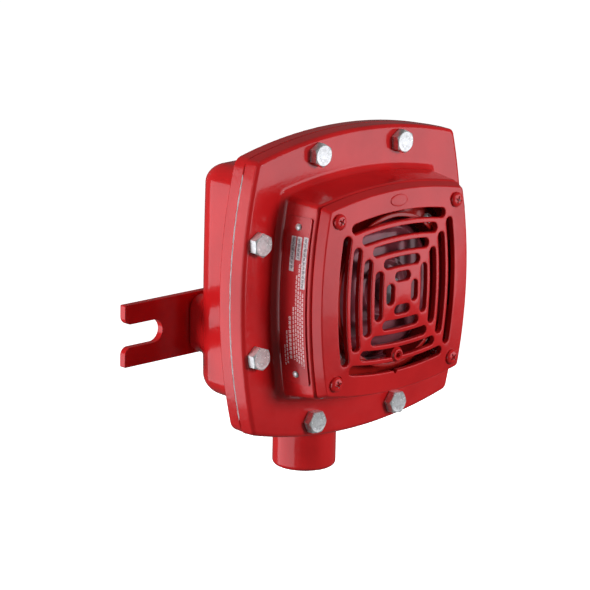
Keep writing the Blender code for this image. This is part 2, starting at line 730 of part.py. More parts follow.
def make_bracket():
    outline = [(x, z - AXIS_HEIGHT) for x, z in bracket_outline()]
    front = WALL_DEPTH - BRACKET_THICKNESS
    bracket = add_piece("mounting_bracket", prism(bmesh.new(), outline, front, WALL_DEPTH), "red_enamel")
    countersink = [
        (0.0034, front - OVERRUN), (0.0034, WALL_DEPTH - 0.0029),
        (0.0060, WALL_DEPTH - 0.0002), (0.0060, WALL_DEPTH + OVERRUN),
    ]  # fmt: skip
    sinks = bmesh.new()
    for side in (-1, 1):
        place = Vector((side * BRACKET_SCREW_AT, 0, -AXIS_HEIGHT))
        sections = [[place + Vector((x, depth, z)) for x, z in circle(r, 16)] for r, depth in countersink]
        loft(sinks, sections)
    cut(bracket, sinks)
    head = [(circle(0.0055, 16), 0.0023), (circle(0.0055, 16), 0.0025)]
    mesh = fastener_mesh("bracket_screw", head, 0.0029, 0.0112, 16)
    places = [(side * BRACKET_SCREW_AT, WALL_DEPTH - 0.0028, -AXIS_HEIGHT) for side in (-1, 1)]
    add_copies("bracket_screw", mesh, "zinc", places, REARWARD)


# ---------------------------------------------------------------- diaphragm


def make_diaphragm():
    """A thin disc that steps forward inside its clamped rim, and the gasket behind the rim."""
    rim, foot, crest, flat, bore = DIAPHRAGM_RADIUS, 0.0430, 0.0375, 0.030, 0.0034
    profile = [
        (rim, 0.0157), (foot, 0.0157), (crest, 0.0106), (flat, 0.0102), (bore, 0.0102),
        (bore, 0.0107), (flat, 0.0107), (crest - 0.0002, 0.0111), (foot - 0.0003, 0.0162), (rim, 0.0162),
    ]  # fmt: skip
    add_piece("diaphragm", turned(profile, 32), "red_enamel")
    gasket = [(COLLAR_INNER, 0.0171), (COLLAR_INNER, 0.0177), (0.0489, 0.0177), (0.0489, 0.0171)]
    add_piece("diaphragm_gasket", turned(gasket, 32), "gasket")


def make_clamp_ring():
    seat = CHAMBER_FLOOR - GAP
    plate = seat - RING_THICKNESS
    profile = [
        (RING_OUTER, plate), (RING_OUTER, seat), (COLLAR_INNER, seat), (COLLAR_INNER, 0.0033),
        (COLLAR_INNER + 0.0007, 0.0026), (COLLAR_INNER + 0.0021, 0.0026), (COLLAR_INNER + 0.0028, 0.0033),
        (COLLAR_INNER + 0.0028, plate),
    ]  # fmt: skip
    ring = add_piece("diaphragm_clamp_ring", turned(profile, 40), "red_enamel")
    cut(ring, holes(corners_at(RING_SCREW_AT), plate - OVERRUN, seat + OVERRUN, SCREW_CLEARANCE))
    mesh = fastener_mesh("clamp_screw", pan_head(0.0036, SCREW_HEAD_HEIGHT), SCREW_RADIUS, 0.0088)
    places = [(x, plate - GAP, z) for x, z in corners_at(RING_SCREW_AT)]
    add_copies("clamp_screw", mesh, "zinc", places, FRONTWARD)


def make_striker():
    """Nut, push rod and bushing along the horn's axis."""
    bore = ROD_RADIUS + GAP
    outline, hole = hexagon(NUT_FLATS), circle(bore)
    stations = [(hole, NUT_FRONT), (outline, NUT_FRONT), (outline, NUT_REAR), (hole, NUT_REAR)]
    add_piece("diaphragm_nut", lofted(stations, closed=True), "steel")
    push_rod = prism(bmesh.new(), circle(ROD_RADIUS), ROD_FRONT, ARMATURE_FRONT - GAP)
    add_piece("push_rod", push_rod, "steel")
    running = ROD_RADIUS + RUNNING_GAP
    collar = BUSHING_SEAT + GAP
    profile = [
        (running, RECESS_FLOOR + GAP), (BUSHING_RADIUS, RECESS_FLOOR + GAP), (BUSHING_RADIUS, collar),
        (BUSHING_FLANGE_RADIUS, collar), (BUSHING_FLANGE_RADIUS, collar + BUSHING_FLANGE),
        (running, collar + BUSHING_FLANGE),
    ]  # fmt: skip
    add_piece("flame_path_bushing", turned(profile), "brass")


# ---------------------------------------------------------------- striker mechanism


def small_screw(name, length):
    head = pan_head(SCREW_HEAD_RADIUS, SCREW_HEAD_HEIGHT)
    return fastener_mesh(name, head, SCREW_RADIUS, length)


def make_yoke():
    inner, rear_inner = YOKE_LEG - STEEL, YOKE_REAR - STEEL
    foot_rear = MECHANISM_SEAT + STEEL
    half = [
        (YOKE_LEG, YOKE_REAR), (YOKE_LEG, foot_rear), (YOKE_FOOT, foot_rear), (YOKE_FOOT, MECHANISM_SEAT),
        (inner, MECHANISM_SEAT), (inner, rear_inner),
    ]  # fmt: skip
    plan = half + [(-x, y) for x, y in reversed(half)]
    bm = prism(bmesh.new(), plan, -YOKE_HALF_HEIGHT, YOKE_HALF_HEIGHT, "Z")
    yoke = add_piece("magnet_yoke", bm, "steel")
    tail_bore = CORE_TAIL_RADIUS + GAP
    cut(yoke, holes([(0, 0)], rear_inner - OVERRUN, YOKE_REAR + OVERRUN, tail_bore, ROUND_STEPS))
    cut(yoke, holes(YOKE_SCREWS_AT, MECHANISM_SEAT - OVERRUN, foot_rear + OVERRUN, SCREW_CLEARANCE))
    mesh = small_screw("mechanism_screw", 0.0075)
    seat = foot_rear + GAP
    add_copies("yoke_screw", mesh, "zinc", [(x, seat, z) for x, z in YOKE_SCREWS_AT], REARWARD)
    add_copies("post_screw", mesh, "zinc", [(x, seat, z) for x, z in POST_SCREWS_AT], REARWARD)


def make_coil():
    rear_inner = YOKE_REAR - STEEL
    shoulder = rear_inner - GAP
    core = [
        (CORE_RADIUS, POLE_FACE), (CORE_RADIUS, shoulder),
        (CORE_TAIL_RADIUS, shoulder), (CORE_TAIL_RADIUS, YOKE_REAR + 0.001),
    ]  # fmt: skip
    add_piece("magnet_core", lofted([(circle(radius), depth) for radius, depth in core]), "steel")
    rear = rear_inner - 2 * GAP
    front_flange, rear_flange = BOBBIN_FRONT + BOBBIN_FLANGE, rear - BOBBIN_FLANGE
    bore = CORE_RADIUS + GAP
    bobbin = [
        (bore, BOBBIN_FRONT), (BOBBIN_RADIUS, BOBBIN_FRONT), (BOBBIN_RADIUS, front_flange),
        (BOBBIN_TUBE, front_flange), (BOBBIN_TUBE, rear_flange), (BOBBIN_RADIUS, rear_flange),
        (BOBBIN_RADIUS, rear), (bore, rear),
    ]  # fmt: skip
    add_piece("coil_bobbin", turned(bobbin), "black_plastic")
    start, end, inside = front_flange + GAP, rear_flange - GAP, BOBBIN_TUBE + GAP
    winding = [(inside, start), (WINDING_RADIUS, start), (WINDING_RADIUS, end), (inside, end)]
    add_piece("coil_winding", turned(winding), "copper_winding")


def piece_from_pivot(name, bm, material):
    """A piece whose origin is on the armature's hinge axis."""
    pivot = Vector((0, PIVOT_DEPTH, PIVOT_HEIGHT))
    bmesh.ops.translate(bm, verts=bm.verts, vec=-pivot)
    return add_piece(name, bm, material, pivot)


def make_armature():
    plate = block(bmesh.new(), (-0.010, ARMATURE_FRONT, -0.022), (0.010, ARMATURE_REAR, 0.029))
    piece_from_pivot("armature", plate, "steel")
    leaf_front = ARMATURE_REAR + GAP
    leaf_rear = leaf_front + LEAF_THICKNESS
    leaf = block(bmesh.new(), (-0.008, leaf_front, 0.016), (0.008, leaf_rear, 0.0435))
    spring = piece_from_pivot("armature_spring", leaf, "steel")
    cut(spring, holes([SPRING_SCREW_AT], leaf_front - OVERRUN, leaf_rear + OVERRUN, 0.0024))
    arm = block(bmesh.new(), (-0.003, leaf_front, CONTACT_HEIGHT - 0.003), (0.003, leaf_rear, -0.014))
    contact = piece_from_pivot("moving_contact", arm, "brass")
    join(contact, holes([(0, CONTACT_HEIGHT)], CONTACT_FACE, leaf_front + 0.0002, 0.0016))


def make_armature_post():
    """Bent steel post that holds the leaf spring's upper end."""
    foot_rear = MECHANISM_SEAT + STEEL
    lug_rear = ARMATURE_REAR
    side = [
        (MECHANISM_SEAT, 0.0415), (MECHANISM_SEAT, 0.053), (foot_rear, 0.053), (foot_rear, 0.044),
        (lug_rear, 0.044), (lug_rear, 0.034), (lug_rear - STEEL, 0.034), (lug_rear - STEEL, 0.0415),
    ]  # fmt: skip
    post = add_piece("armature_post", prism(bmesh.new(), side, -0.009, 0.009, "X"), "steel")
    cut(post, holes(POST_SCREWS_AT, MECHANISM_SEAT - OVERRUN, foot_rear + OVERRUN, SCREW_CLEARANCE))
    cut(post, holes([SPRING_SCREW_AT], lug_rear - STEEL - OVERRUN, lug_rear + OVERRUN, SCREW_TAPPED))
    mesh = fastener_mesh("spring_screw", pan_head(0.0033, 0.002), SCREW_RADIUS, 0.0048)
    x, z = SPRING_SCREW_AT
    seat = ARMATURE_REAR + 2 * GAP + LEAF_THICKNESS
    add_object("spring_screw", mesh, "zinc", (x, seat, z), REARWARD)


def make_contact_stack():
    """Insulating block, contact bracket and the screw that sets the interrupter's gap."""
    block_rear = MECHANISM_SEAT + 0.0047
    bm = block(bmesh.new(), (-0.009, MECHANISM_SEAT, -0.053), (0.009, block_rear, -0.040))
    insulator = add_piece("contact_insulator", bm, "black_plastic")
    start, end = MECHANISM_SEAT - OVERRUN, block_rear + OVERRUN
    cut(insulator, holes(BLOCK_SCREWS_AT, start, end, SCREW_CLEARANCE))
    front = block_rear + GAP
    rear = front + 0.0020
    bm = block(bmesh.new(), (-0.008, front, -0.052), (0.008, rear, -0.024))
    bracket = add_piece("contact_bracket", bm, "brass")
    cut(bracket, holes(BLOCK_SCREWS_AT, front - OVERRUN, rear + OVERRUN, SCREW_CLEARANCE))
    cut(bracket, holes([(0, CONTACT_HEIGHT)], front - OVERRUN, rear + OVERRUN, 0.0019))
    screws = [(x, rear + GAP, z) for x, z in BLOCK_SCREWS_AT]
    mesh = small_screw("contact_block_screw", 0.0120)
    add_copies("contact_block_screw", mesh, "zinc", screws, REARWARD)
    length = CONTACT_FACE - front
    adjuster = fastener_mesh("contact_adjusting_screw", pan_head(0.0026, 0.0018), 0.0015, length)
    add_object("contact_adjusting_screw", adjuster, "brass", (0, front - GAP, CONTACT_HEIGHT), FRONTWARD)


# ---------------------------------------------------------------- wiring inside the tub


def make_terminal_block():
    rear = TUB_FLOOR - GAP
    front = rear - TERMINAL_DEPTH
    low = (-TERMINAL_HALF_LENGTH, front, TERMINAL_LOW)
    high = (TERMINAL_HALF_LENGTH, rear, TERMINAL_HIGH)
    body = add_piece("terminal_block", block(bmesh.new(), low, high), "black_plastic")
    half_barrier, inset, proud = 0.0007, 0.0005, 0.003
    for x in TERMINAL_BARRIERS:
        low = (x - half_barrier, front - proud, TERMINAL_LOW + inset)
        high = (x + half_barrier, front + OVERRUN, TERMINAL_HIGH - inset)
        join(body, block(bmesh.new(), low, high))
    cut(body, holes(TERMINAL_WIRES_AT, front - OVERRUN, front + 0.006, SCREW_TAPPED))
    cut(body, holes([TERMINAL_SCREW_AT], front - OVERRUN, rear + OVERRUN, 0.0022))
    mesh = fastener_mesh("terminal_screw", pan_head(0.0032, 0.002), 0.0017, 0.0050)
    wires = [(x, front - GAP, z) for x, z in TERMINAL_WIRES_AT]
    add_copies("terminal_screw", mesh, "brass", wires, FRONTWARD)
    long_screw = fastener_mesh("terminal_block_screw", pan_head(0.0030, 0.002), SCREW_RADIUS, 0.0120)
    x, z = TERMINAL_SCREW_AT
    add_object("terminal_block_screw", long_screw, "zinc", (x, front - GAP, z), FRONTWARD)
    ground = fastener_mesh("ground_screw", hex_head(0.008, 0.003), 0.0019, 0.0042)
    x, z = GROUND_SCREW_AT
    add_object("ground_screw", ground, "green_screw", (x, TUB_FLOOR - GAP, z), FRONTWARD)


def bezier(points, t):
    a, b, c, d = (Vector(p) for p in points)
    return a * (1 - t) ** 3 + b * 3 * t * (1 - t) ** 2 + c * 3 * t**2 * (1 - t) + d * t**3


def make_coil_leads():
    """Two insulated leads from the coil's rear flange to the terminal block."""
    steps = 12
    for number, side in enumerate((-1, 1), start=1):
        route = [
            (side * 0.008, 0.0690, 0.0196), (side * 0.008, 0.0690, 0.030),
            (side * 0.011, 0.0915, 0.026), (side * 0.011, 0.0915, TERMINAL_LOW - GAP),
        ]  # fmt: skip
        data = bpy.data.curves.new(f"coil_lead_{number}", "CURVE")
        data.dimensions = "3D"
        data.bevel_depth = 0.0009
        data.bevel_resolution = 2
        data.use_fill_caps = True
        spline = data.splines.new("POLY")
        spline.points.add(steps)
        for i, point in enumerate(spline.points):
            point.co = (*bezier(route, i / steps), 1)
        data.materials.append(material_named("lead_insulation"))
        lead = bpy.data.objects.new(f"coil_lead_{number}", data)
        bpy.context.scene.collection.objects.link(lead)
        lead.location = HORN_AT


def main():
    clear_scene()
    make_rear_housing()
    make_front_cover()
    make_grille()
    make_output_adjuster()
    make_nameplate()
    make_cover_bolts()
    make_grille_screws()
    make_bracket()
    make_diaphragm()
    make_clamp_ring()
    make_striker()
    make_yoke()
    make_coil()
    make_armature()
    make_armature_post()
    make_contact_stack()
    make_terminal_block()
    make_coil_leads()


main()
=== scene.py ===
"""Looks of an explosion-proof vibrating horn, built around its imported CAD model.

Metres in the CAD frame: +X to the viewer's right, -Y towards the viewer, +Z up. Shapes are worked out in
the horn's own terms, x across, depth behind the grille's corners and height above the horn's axis. ORIGIN
is where those three are zero. After the sizes come outlines, meshes and materials, then the pieces, from
the castings to the diaphragm, and the stage.
"""

import json
from itertools import product
from math import acos, asin, atan2, cos, pi, radians, sin, sqrt, tan, tau

import bmesh
import bpy
import numpy as np
from mathutils import Matrix, Vector, geometry

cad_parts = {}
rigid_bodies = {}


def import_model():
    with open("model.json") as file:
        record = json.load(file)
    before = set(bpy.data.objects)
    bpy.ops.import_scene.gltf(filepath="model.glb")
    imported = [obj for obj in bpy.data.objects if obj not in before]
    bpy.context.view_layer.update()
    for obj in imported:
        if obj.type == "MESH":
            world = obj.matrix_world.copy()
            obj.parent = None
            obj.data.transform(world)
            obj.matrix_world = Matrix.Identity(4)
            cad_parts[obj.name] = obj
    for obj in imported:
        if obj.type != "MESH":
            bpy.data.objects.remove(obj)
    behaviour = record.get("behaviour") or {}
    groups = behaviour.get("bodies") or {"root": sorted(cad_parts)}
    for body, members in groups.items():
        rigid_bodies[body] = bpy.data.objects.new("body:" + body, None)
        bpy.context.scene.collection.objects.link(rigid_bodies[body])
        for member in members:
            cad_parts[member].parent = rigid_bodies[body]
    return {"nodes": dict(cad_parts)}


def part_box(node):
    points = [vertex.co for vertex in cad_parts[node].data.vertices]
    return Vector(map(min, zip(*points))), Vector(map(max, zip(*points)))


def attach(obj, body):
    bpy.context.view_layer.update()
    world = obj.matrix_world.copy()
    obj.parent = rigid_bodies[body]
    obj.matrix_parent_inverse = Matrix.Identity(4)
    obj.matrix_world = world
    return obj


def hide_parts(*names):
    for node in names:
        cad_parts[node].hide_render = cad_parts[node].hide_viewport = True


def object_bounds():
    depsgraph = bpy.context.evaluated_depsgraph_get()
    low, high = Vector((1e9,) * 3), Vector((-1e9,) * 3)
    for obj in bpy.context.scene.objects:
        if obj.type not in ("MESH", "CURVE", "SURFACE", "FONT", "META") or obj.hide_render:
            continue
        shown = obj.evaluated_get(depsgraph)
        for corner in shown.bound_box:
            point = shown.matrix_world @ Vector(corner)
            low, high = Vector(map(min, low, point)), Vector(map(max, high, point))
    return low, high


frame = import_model()
CAD_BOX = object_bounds()
NODES = frame["nodes"]

# ---- sizes

# How finely curves are drawn.
SIDE_STEPS = 36
CORNER_STEPS = 8
FILLET_STEPS = 6
ROUND_STEPS = 64
SHARP_ANGLE = 32  # degrees
HAIR = 0.00002  # keeps faces that touch from flickering
OVERRUN = 0.001  # how far a cutter runs past the face that it cuts

# Machine screws that hold the small pieces.
SCREW_RADIUS = 0.0018
SCREW_TAPPED = 0.0021
SCREW_CLEARANCE = 0.0023

# Bolted flanges and their bolts.
FLANGE_HALF = 0.082
FLANGE_BULGE = 0.01108
FLANGE_CORNER = 0.0040
FLANGE_FRONT = 0.034
PARTING = 0.0442
HALF_GAP = 0.00015
FLANGE_REAR = 0.054
BOLT_NEAR = 0.034
BOLT_FAR = 0.081
BOLT_FLATS = 0.0127
BOLT_HEAD = 0.0055
BOLT_RADIUS = 0.0039
BOLT_CLEARANCE = 0.0003
BOLT_HOLE_END = 0.0515
BOLT_SHANK = 0.017
BOLT_TURNS = (0, 28, 4, 25, 2, 10, 18, 41)  # degrees, as each bolt was left by the spanner

# Raised box of the front cover, with the sound chamber in front of its partition.
BOX_RIM = 0.0074
BOX_RIM_HALF = 0.0576
BOX_BASE_HALF = 0.0604
BOX_BULGE = 0.006
RIM_WIDTH = 0.0048
CHAMBER_FLOOR = 0.0155
RECESS_FLOOR = 0.018
RECESS_RADIUS = 0.0492
PARTITION_REAR = 0.026
SKIRT_HALF = 0.0540
BUSHING_SEAT = 0.034
BUSHING_RADIUS = 0.0073
BUSHING_BOSS_RADIUS = 0.014

# Rear housing: the tub, its pad for the bracket and its conduit hub.
TUB_HALF = 0.0716
TUB_BULGE = 0.001
TUB_CORNER = 0.013
TUB_DRAFT = 0.0014
TUB_REAR = 0.102
TUB_EDGE = 0.0176
TUB_WALL = 0.006
TUB_FLOOR = 0.095
PAD_HALF_WIDTH = 0.066
PAD_HALF_HEIGHT = 0.0178
PAD_CORNER = 0.008
PAD_REAR = 0.1095
HUB_RADIUS = 0.0196
HUB_DEPTH = 0.0757
HUB_EDGE = 0.003
CONDUIT_RADIUS = 0.0122
CAST_FILLET = 0.003
CAST_EDGE = 0.0005

# Grille, with the seats of its screws and the boss of its adjusting screw.
GRILLE_HALF = 0.055
GRILLE_BULGE = 0.006
GRILLE_CORNER = 0.0026
GRILLE_SKIRT_HALF = 0.0571
GRILLE_REAR = 0.007
GRILLE_CROWN = 0.00583
GRILLE_SLOPE = 0.12
GRILLE_CROWN_ROUND = 0.008
GRILLE_WALL = 0.0032
SLOT_WIDTH = 0.0059
SLOT_ROWS = 5
SLOT_FIRST = 0.0100
SLOT_PITCH = 0.0089
SLOT_BOW_RADIUS = 0.210
SLOT_EDGE = 0.0008
GRILLE_EDGE = 0.0010
GRILLE_RIM_HALF = GRILLE_HALF + 0.0002 - GRILLE_EDGE
MITRE_SOFTNESS = 0.0007
DIAGONAL_RIB = 0.0033
GRILLE_SCREW_AT = 0.04865
GRILLE_SEAT_RADIUS = 0.0052
GRILLE_SEAT = 0.0001
GRILLE_TAP_END = 0.0185
ADJUSTER_HEIGHT = -0.0386
ADJUSTER_BOSS_RADIUS = 0.0038
ADJUSTER_RADIUS = 0.0018
ADJUSTER_FRONT = -0.0028
ADJUSTER_END = 0.0085
PAD_HEIGHT_ON_GRILLE = 0.0549

# Nameplate, clamping ring and diaphragm.
PLATE_FRONT = 0.0105
PLATE_REAR = 0.0285
PLATE_HALF_LENGTH = 0.050
PLATE_THICKNESS = 0.0008
PLATE_OFF_WALL = 0.0002
RIVET_HEIGHT = 0.044
RIVET_RADIUS = 0.0021
RING_SCREW_AT = 0.0366
RING_TAP_END = 0.0225
RING_OUTER = 0.0563
RING_INNER = 0.0440
RING_FRONT = 0.0026
RING_PLATE = 0.0025
RING_LIP = 0.0028
DIAPHRAGM_THICKNESS = 0.0005

# Mounting bracket.
BRACKET_HALF_LENGTH = 0.1165
BRACKET_HALF_HEIGHT = 0.01905
BRACKET_THICKNESS = 0.0047
BRACKET_SLOT_DEPTH = 0.0297
BRACKET_SLOT_RADIUS = 0.007
BRACKET_MOUTH_RADIUS = 0.005
BRACKET_EASE = 0.0008
BRACKET_SCREW_AT = 0.032
BRACKET_TAP_RADIUS = 0.0033
BRACKET_TAP_END = 0.0990


def middle(node):
    low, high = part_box(node)
    return (low + high) / 2


AXIS = middle("push_rod")
ORIGIN = Vector((AXIS.x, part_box("front_cover")[0].y - BOX_RIM, AXIS.z))
BRACKET_HEIGHT = middle("mounting_bracket").z - ORIGIN.z
WALL_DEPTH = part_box("mounting_bracket")[1].y - ORIGIN.y
HUB_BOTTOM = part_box("rear_housing")[0].z - ORIGIN.z

# ---- outlines, as arrays of (x, height)


def arc(centre, radius, start, end, steps):
    angles = np.linspace(start, end, steps + 1)
    return np.stack([centre[0] + radius * np.cos(angles), centre[1] + radius * np.sin(angles)], axis=1)


def turned_about_axis(points, angle):
    c, s = cos(angle), sin(angle)
    return points @ np.array([[c, s], [-s, c]])


def side_circle(half, bulge):
    """Radius and centre of the arc that bows a side of a square outwards."""
    radius = (half**2 + bulge**2) / (2 * bulge)
    return radius, half + bulge - radius


def bowed_square(half, bulge, corner):
    """A square of corners at +-half whose sides bow outwards by bulge, with its corners rounded."""
    radius, centre = side_circle(half, bulge)
    pivot = (centre + sqrt(2 * (radius - corner) ** 2 - centre**2)) / 2
    meet = atan2(pivot - centre, pivot)
    side = arc((centre, 0), radius, meet - pi / 2, pi / 2 - meet, SIDE_STEPS)
    fillet = arc((pivot, pivot), corner, pi / 2 - meet, meet, CORNER_STEPS)
    quarter = np.concatenate([side[:-1], fillet[:-1]])
    return np.concatenate([turned_about_axis(quarter, turn * pi / 2) for turn in range(4)])


def circle(radius, steps=ROUND_STEPS):
    return arc((0, 0), radius, 0, tau, steps)[:-1]


def hexagon(flats, steps=ROUND_STEPS):
    """A hexagon with as many points as a circle, so that the two can be lofted together."""
    angles = np.arange(steps) * tau / steps
    from_flat = (angles + pi / 6) % (pi / 3) - pi / 6
    radii = flats / 2 / np.cos(from_flat)
    return np.stack([radii * np.cos(angles), radii * np.sin(angles)], axis=1)


def slot_ends(row):
    """Centre height of a slot's arc, and the angle each way to the middle of its round ends."""
    centre = SLOT_FIRST + SLOT_PITCH * row - SLOT_BOW_RADIUS
    beside = centre - (SLOT_WIDTH + DIAGONAL_RIB) / sqrt(2)
    return centre, asin((beside + sqrt(2 * SLOT_BOW_RADIUS**2 - beside**2)) / 2 / SLOT_BOW_RADIUS)


def capsule(row, side, grown=0.0):
    """Outline of one grille slot, a bowed bar with round ends, grown outwards all round."""
    half_width = SLOT_WIDTH / 2 + grown
    centre, reach = slot_ends(row)
    steps = 4 + 5 * row
    outer = arc((0, centre), SLOT_BOW_RADIUS + half_width, pi / 2 - reach, pi / 2 + reach, steps)
    inner = arc((0, centre), SLOT_BOW_RADIUS - half_width, pi / 2 + reach, pi / 2 - reach, steps)
    end = np.array([SLOT_BOW_RADIUS * sin(reach), centre + SLOT_BOW_RADIUS * cos(reach)])
    left_end = arc((-end[0], end[1]), half_width, pi / 2 + reach, 3 * pi / 2 + reach, 12)[1:-1]
    right_end = arc(end, half_width, -pi / 2 - reach, pi / 2 - reach, 12)[1:-1]
    return turned_about_axis(np.concatenate([outer, left_end, inner, right_end]), side * pi / 2)


def at_depth(points, depth):
    """(x, height) points as (x, depth, height) points."""
    return np.stack([points[:, 0], np.broadcast_to(depth, len(points)), points[:, 1]], axis=1)


# ---- meshes


def finished(bm, name):
    """A mesh made from a bmesh, with its faces all turned outwards."""
    bmesh.ops.recalc_face_normals(bm, faces=bm.faces)
    mesh = bpy.data.meshes.new(name)
    bm.to_mesh(mesh)
    bm.free()
    return mesh


def shaded(mesh, angle=SHARP_ANGLE):
    mesh.shade_smooth()
    mesh.set_sharp_from_angle(angle=radians(angle))
    return mesh


def add_band(bm, rings, closed=False):
    """Quads between rings of 3D points. The result is the rings as vertices."""
    made = [[bm.verts.new(point) for point in ring] for ring in rings]
    following = made[1:] + (made[:1] if closed else [])
    for ring, after in zip(made, following):
        for i, vert in enumerate(ring):
            j = (i + 1) % len(ring)
            bm.faces.new((vert, ring[j], after[j], after[i]))
    return made


def loft(rings, closed=False, bm=None):
    """Skin a stack of equal rings of 3D points. An open stack is capped at both ends."""
    bm = bm or bmesh.new()
    made = add_band(bm, rings, closed)
    if not closed:
        bm.faces.new(made[0])
        bm.faces.new(made[-1])
    return bm


def lofted_at_depths(outlines):
    """Skin a stack of ((x, height) outline, depth) pairs."""
    return loft([at_depth(outline, depth) for outline, depth in outlines])


def lofted_at_heights(outlines):
    """Skin a stack of (outline, height) pairs along +Z, the axis of a fastener's own mesh."""
    return loft([np.column_stack([outline, np.full(len(outline), z)]) for outline, z in outlines])


def rounded_corner(before, here, after, radius):
    """Stations that round one vertex of a path. A station is (half, bulge, corner, depth)."""
    before, here, after = (np.array(station, float) for station in (before, here, after))
    spot, back, ahead = (station[[0, 3]] for station in (here, before, after))
    back_length, ahead_length = np.linalg.norm(back - spot), np.linalg.norm(ahead - spot)
    towards_back, towards_ahead = (back - spot) / back_length, (ahead - spot) / ahead_length
    angle = acos(np.clip(towards_back @ towards_ahead, -1, 1))
    reach = radius / tan(angle / 2)
    bisector = (towards_back + towards_ahead) / np.linalg.norm(towards_back + towards_ahead)
    centre = spot + bisector * radius / sin(angle / 2)
    first = here + (before - here) * reach / back_length
    last = here + (after - here) * reach / ahead_length
    turn = pi - angle
    stations = []
    for i in range(FILLET_STEPS + 1):
        t = i / FILLET_STEPS
        from_first, from_last = sin((1 - t) * turn) / sin(turn), sin(t * turn) / sin(turn)
        station = first + (last - first) * t
        arm = (first[[0, 3]] - centre) * from_first + (last[[0, 3]] - centre) * from_last
        station[[0, 3]] = centre + arm
        stations.append(station)
    return stations


def rounded_path(path):
    """Round each inner vertex of a path of (half, bulge, corner, depth, radius)."""
    stations = [path[0][:4]]
    for before, here, after in zip(path, path[1:], path[2:]):
        if here[4]:
            stations += rounded_corner(before[:4], here[:4], after[:4], here[4])
        else:
            stations.append(here[:4])
    return stations + [path[-1][:4]]


def lofted_path(path):
    return lofted_at_depths((bowed_square(*station[:3]), station[3]) for station in rounded_path(path))


def rounded_profile(points):
    """Round the vertices of a closed (radius, depth, rounding) profile."""
    rounded = []
    count = len(points)
    for i, (x, y, radius) in enumerate(points):
        if not radius:
            rounded.append((x, y))
            continue
        before, after = points[i - 1], points[(i + 1) % count]
        stations = [(p[0], 0, 0, p[1]) for p in (before, (x, y), after)]
        rounded += [(s[0], s[3]) for s in rounded_corner(*stations, radius)]
    return rounded


def turned(profile, steps=ROUND_STEPS):
    """A solid of revolution about the horn's axis from a closed (radius, depth, rounding) profile."""
    rings = [at_depth(circle(radius, steps), depth) for radius, depth in rounded_profile(profile)]
    return loft(rings, closed=True)


def rods(places, start, end, radius, steps=32):
    """Round rods between two depths, one at each (x, height), to cut holes with or to join on."""
    bm = bmesh.new()
    size = {"radius1": radius, "radius2": radius, "depth": end - start, "segments": steps}
    turn = Vector((0, 1, 0)).to_track_quat("Z", "Y").to_matrix().to_4x4()
    for x, z in places:
        matrix = Matrix.Translation((x, (start + end) / 2, z)) @ turn
        bmesh.ops.create_cone(bm, cap_ends=True, matrix=matrix, **size)
    return bm


def boolean(mesh, operation, bm):
    """The mesh with another shape cut from it or joined to it."""
    scene_objects = bpy.context.scene.collection.objects
    blank = bpy.data.objects.new("blank", mesh)
    tool = bpy.data.objects.new("tool", finished(bm, "tool"))
    for obj in (blank, tool):
        scene_objects.link(obj)
    modifier = blank.modifiers.new("boolean", "BOOLEAN")
    modifier.operation = operation
    modifier.object = tool
    modifier.solver = "EXACT"
    result = bpy.data.meshes.new_from_object(blank.evaluated_get(bpy.context.evaluated_depsgraph_get()))
    for obj in (blank, tool):
        bpy.data.objects.remove(obj)
    result.name = mesh.name
    return result


def cut(mesh, bm):
    return boolean(mesh, "DIFFERENCE", bm)


def join(mesh, bm):
    return boolean(mesh, "UNION", bm)


def corners_at(near, far=None):
    """The four places at (+-near, +-near), or with far, the eight at near one way and far the other."""
    far = near if far is None else far
    places = [(sx * a, sz * b) for a, b in ((near, far), (far, near)) for sx in (-1, 1) for sz in (1, -1)]
    return list(dict.fromkeys(places))


# ---- a mesh from a distance field


def round_and(a, b, radius):
    """The distance to what is inside both, with the edge between them rounded."""
    rounded = np.hypot(np.maximum(a + radius, 0), np.maximum(b + radius, 0)) - radius
    return np.where((a > -radius) & (b > -radius), rounded, np.maximum(a, b))


def round_or(a, b, radius):
    """The distance to what is inside either, with a fillet between them."""
    return -round_and(-a, -b, radius)


def surface_net(distance, axes):
    """Quads over the zero level of a distance function, on a grid whose steps may be uneven."""
    grid = np.meshgrid(*axes, indexing="ij")
    values = distance(*grid)
    cells = tuple(len(axis) - 1 for axis in axes)
    total, count = np.zeros(cells + (3,)), np.zeros(cells)
    crossings = []
    for axis in range(3):
        low = np.take(values, range(cells[axis]), axis=axis)
        high = np.take(values, range(1, cells[axis] + 1), axis=axis)
        at = np.argwhere((low < 0) != (high < 0))
        share = low[tuple(at.T)] / (low[tuple(at.T)] - high[tuple(at.T)])
        spots = np.stack([axes[k][at[:, k]] for k in range(3)], axis=1)
        spots[:, axis] += share * (axes[axis][at[:, axis] + 1] - axes[axis][at[:, axis]])
        crossings.append((axis, at, low[tuple(at.T)] < 0))
        others = [k for k in range(3) if k != axis]
        for back in product((0, -1), repeat=2):
            cell = at.copy()
            cell[:, others] += back
            np.add.at(total, tuple(cell.T), spots)
            np.add.at(count, tuple(cell.T), 1)
    used = count > 0
    index = np.full(cells, -1)
    index[used] = np.arange(used.sum())
    points = drawn_onto(distance, total[used] / count[used][:, None])
    faces = []
    for axis, at, starts_inside in crossings:
        u, v = ((axis + 1) % 3, (axis + 2) % 3)
        around = []
        for back_u, back_v in ((0, 0), (-1, 0), (-1, -1), (0, -1)):
            cell = at.copy()
            cell[:, u] += back_u
            cell[:, v] += back_v
            around.append(index[tuple(cell.T)])
        quads = np.stack(around, axis=1)
        quads[~starts_inside] = quads[~starts_inside, ::-1]
        faces.append(quads)
    return points, np.concatenate(faces)


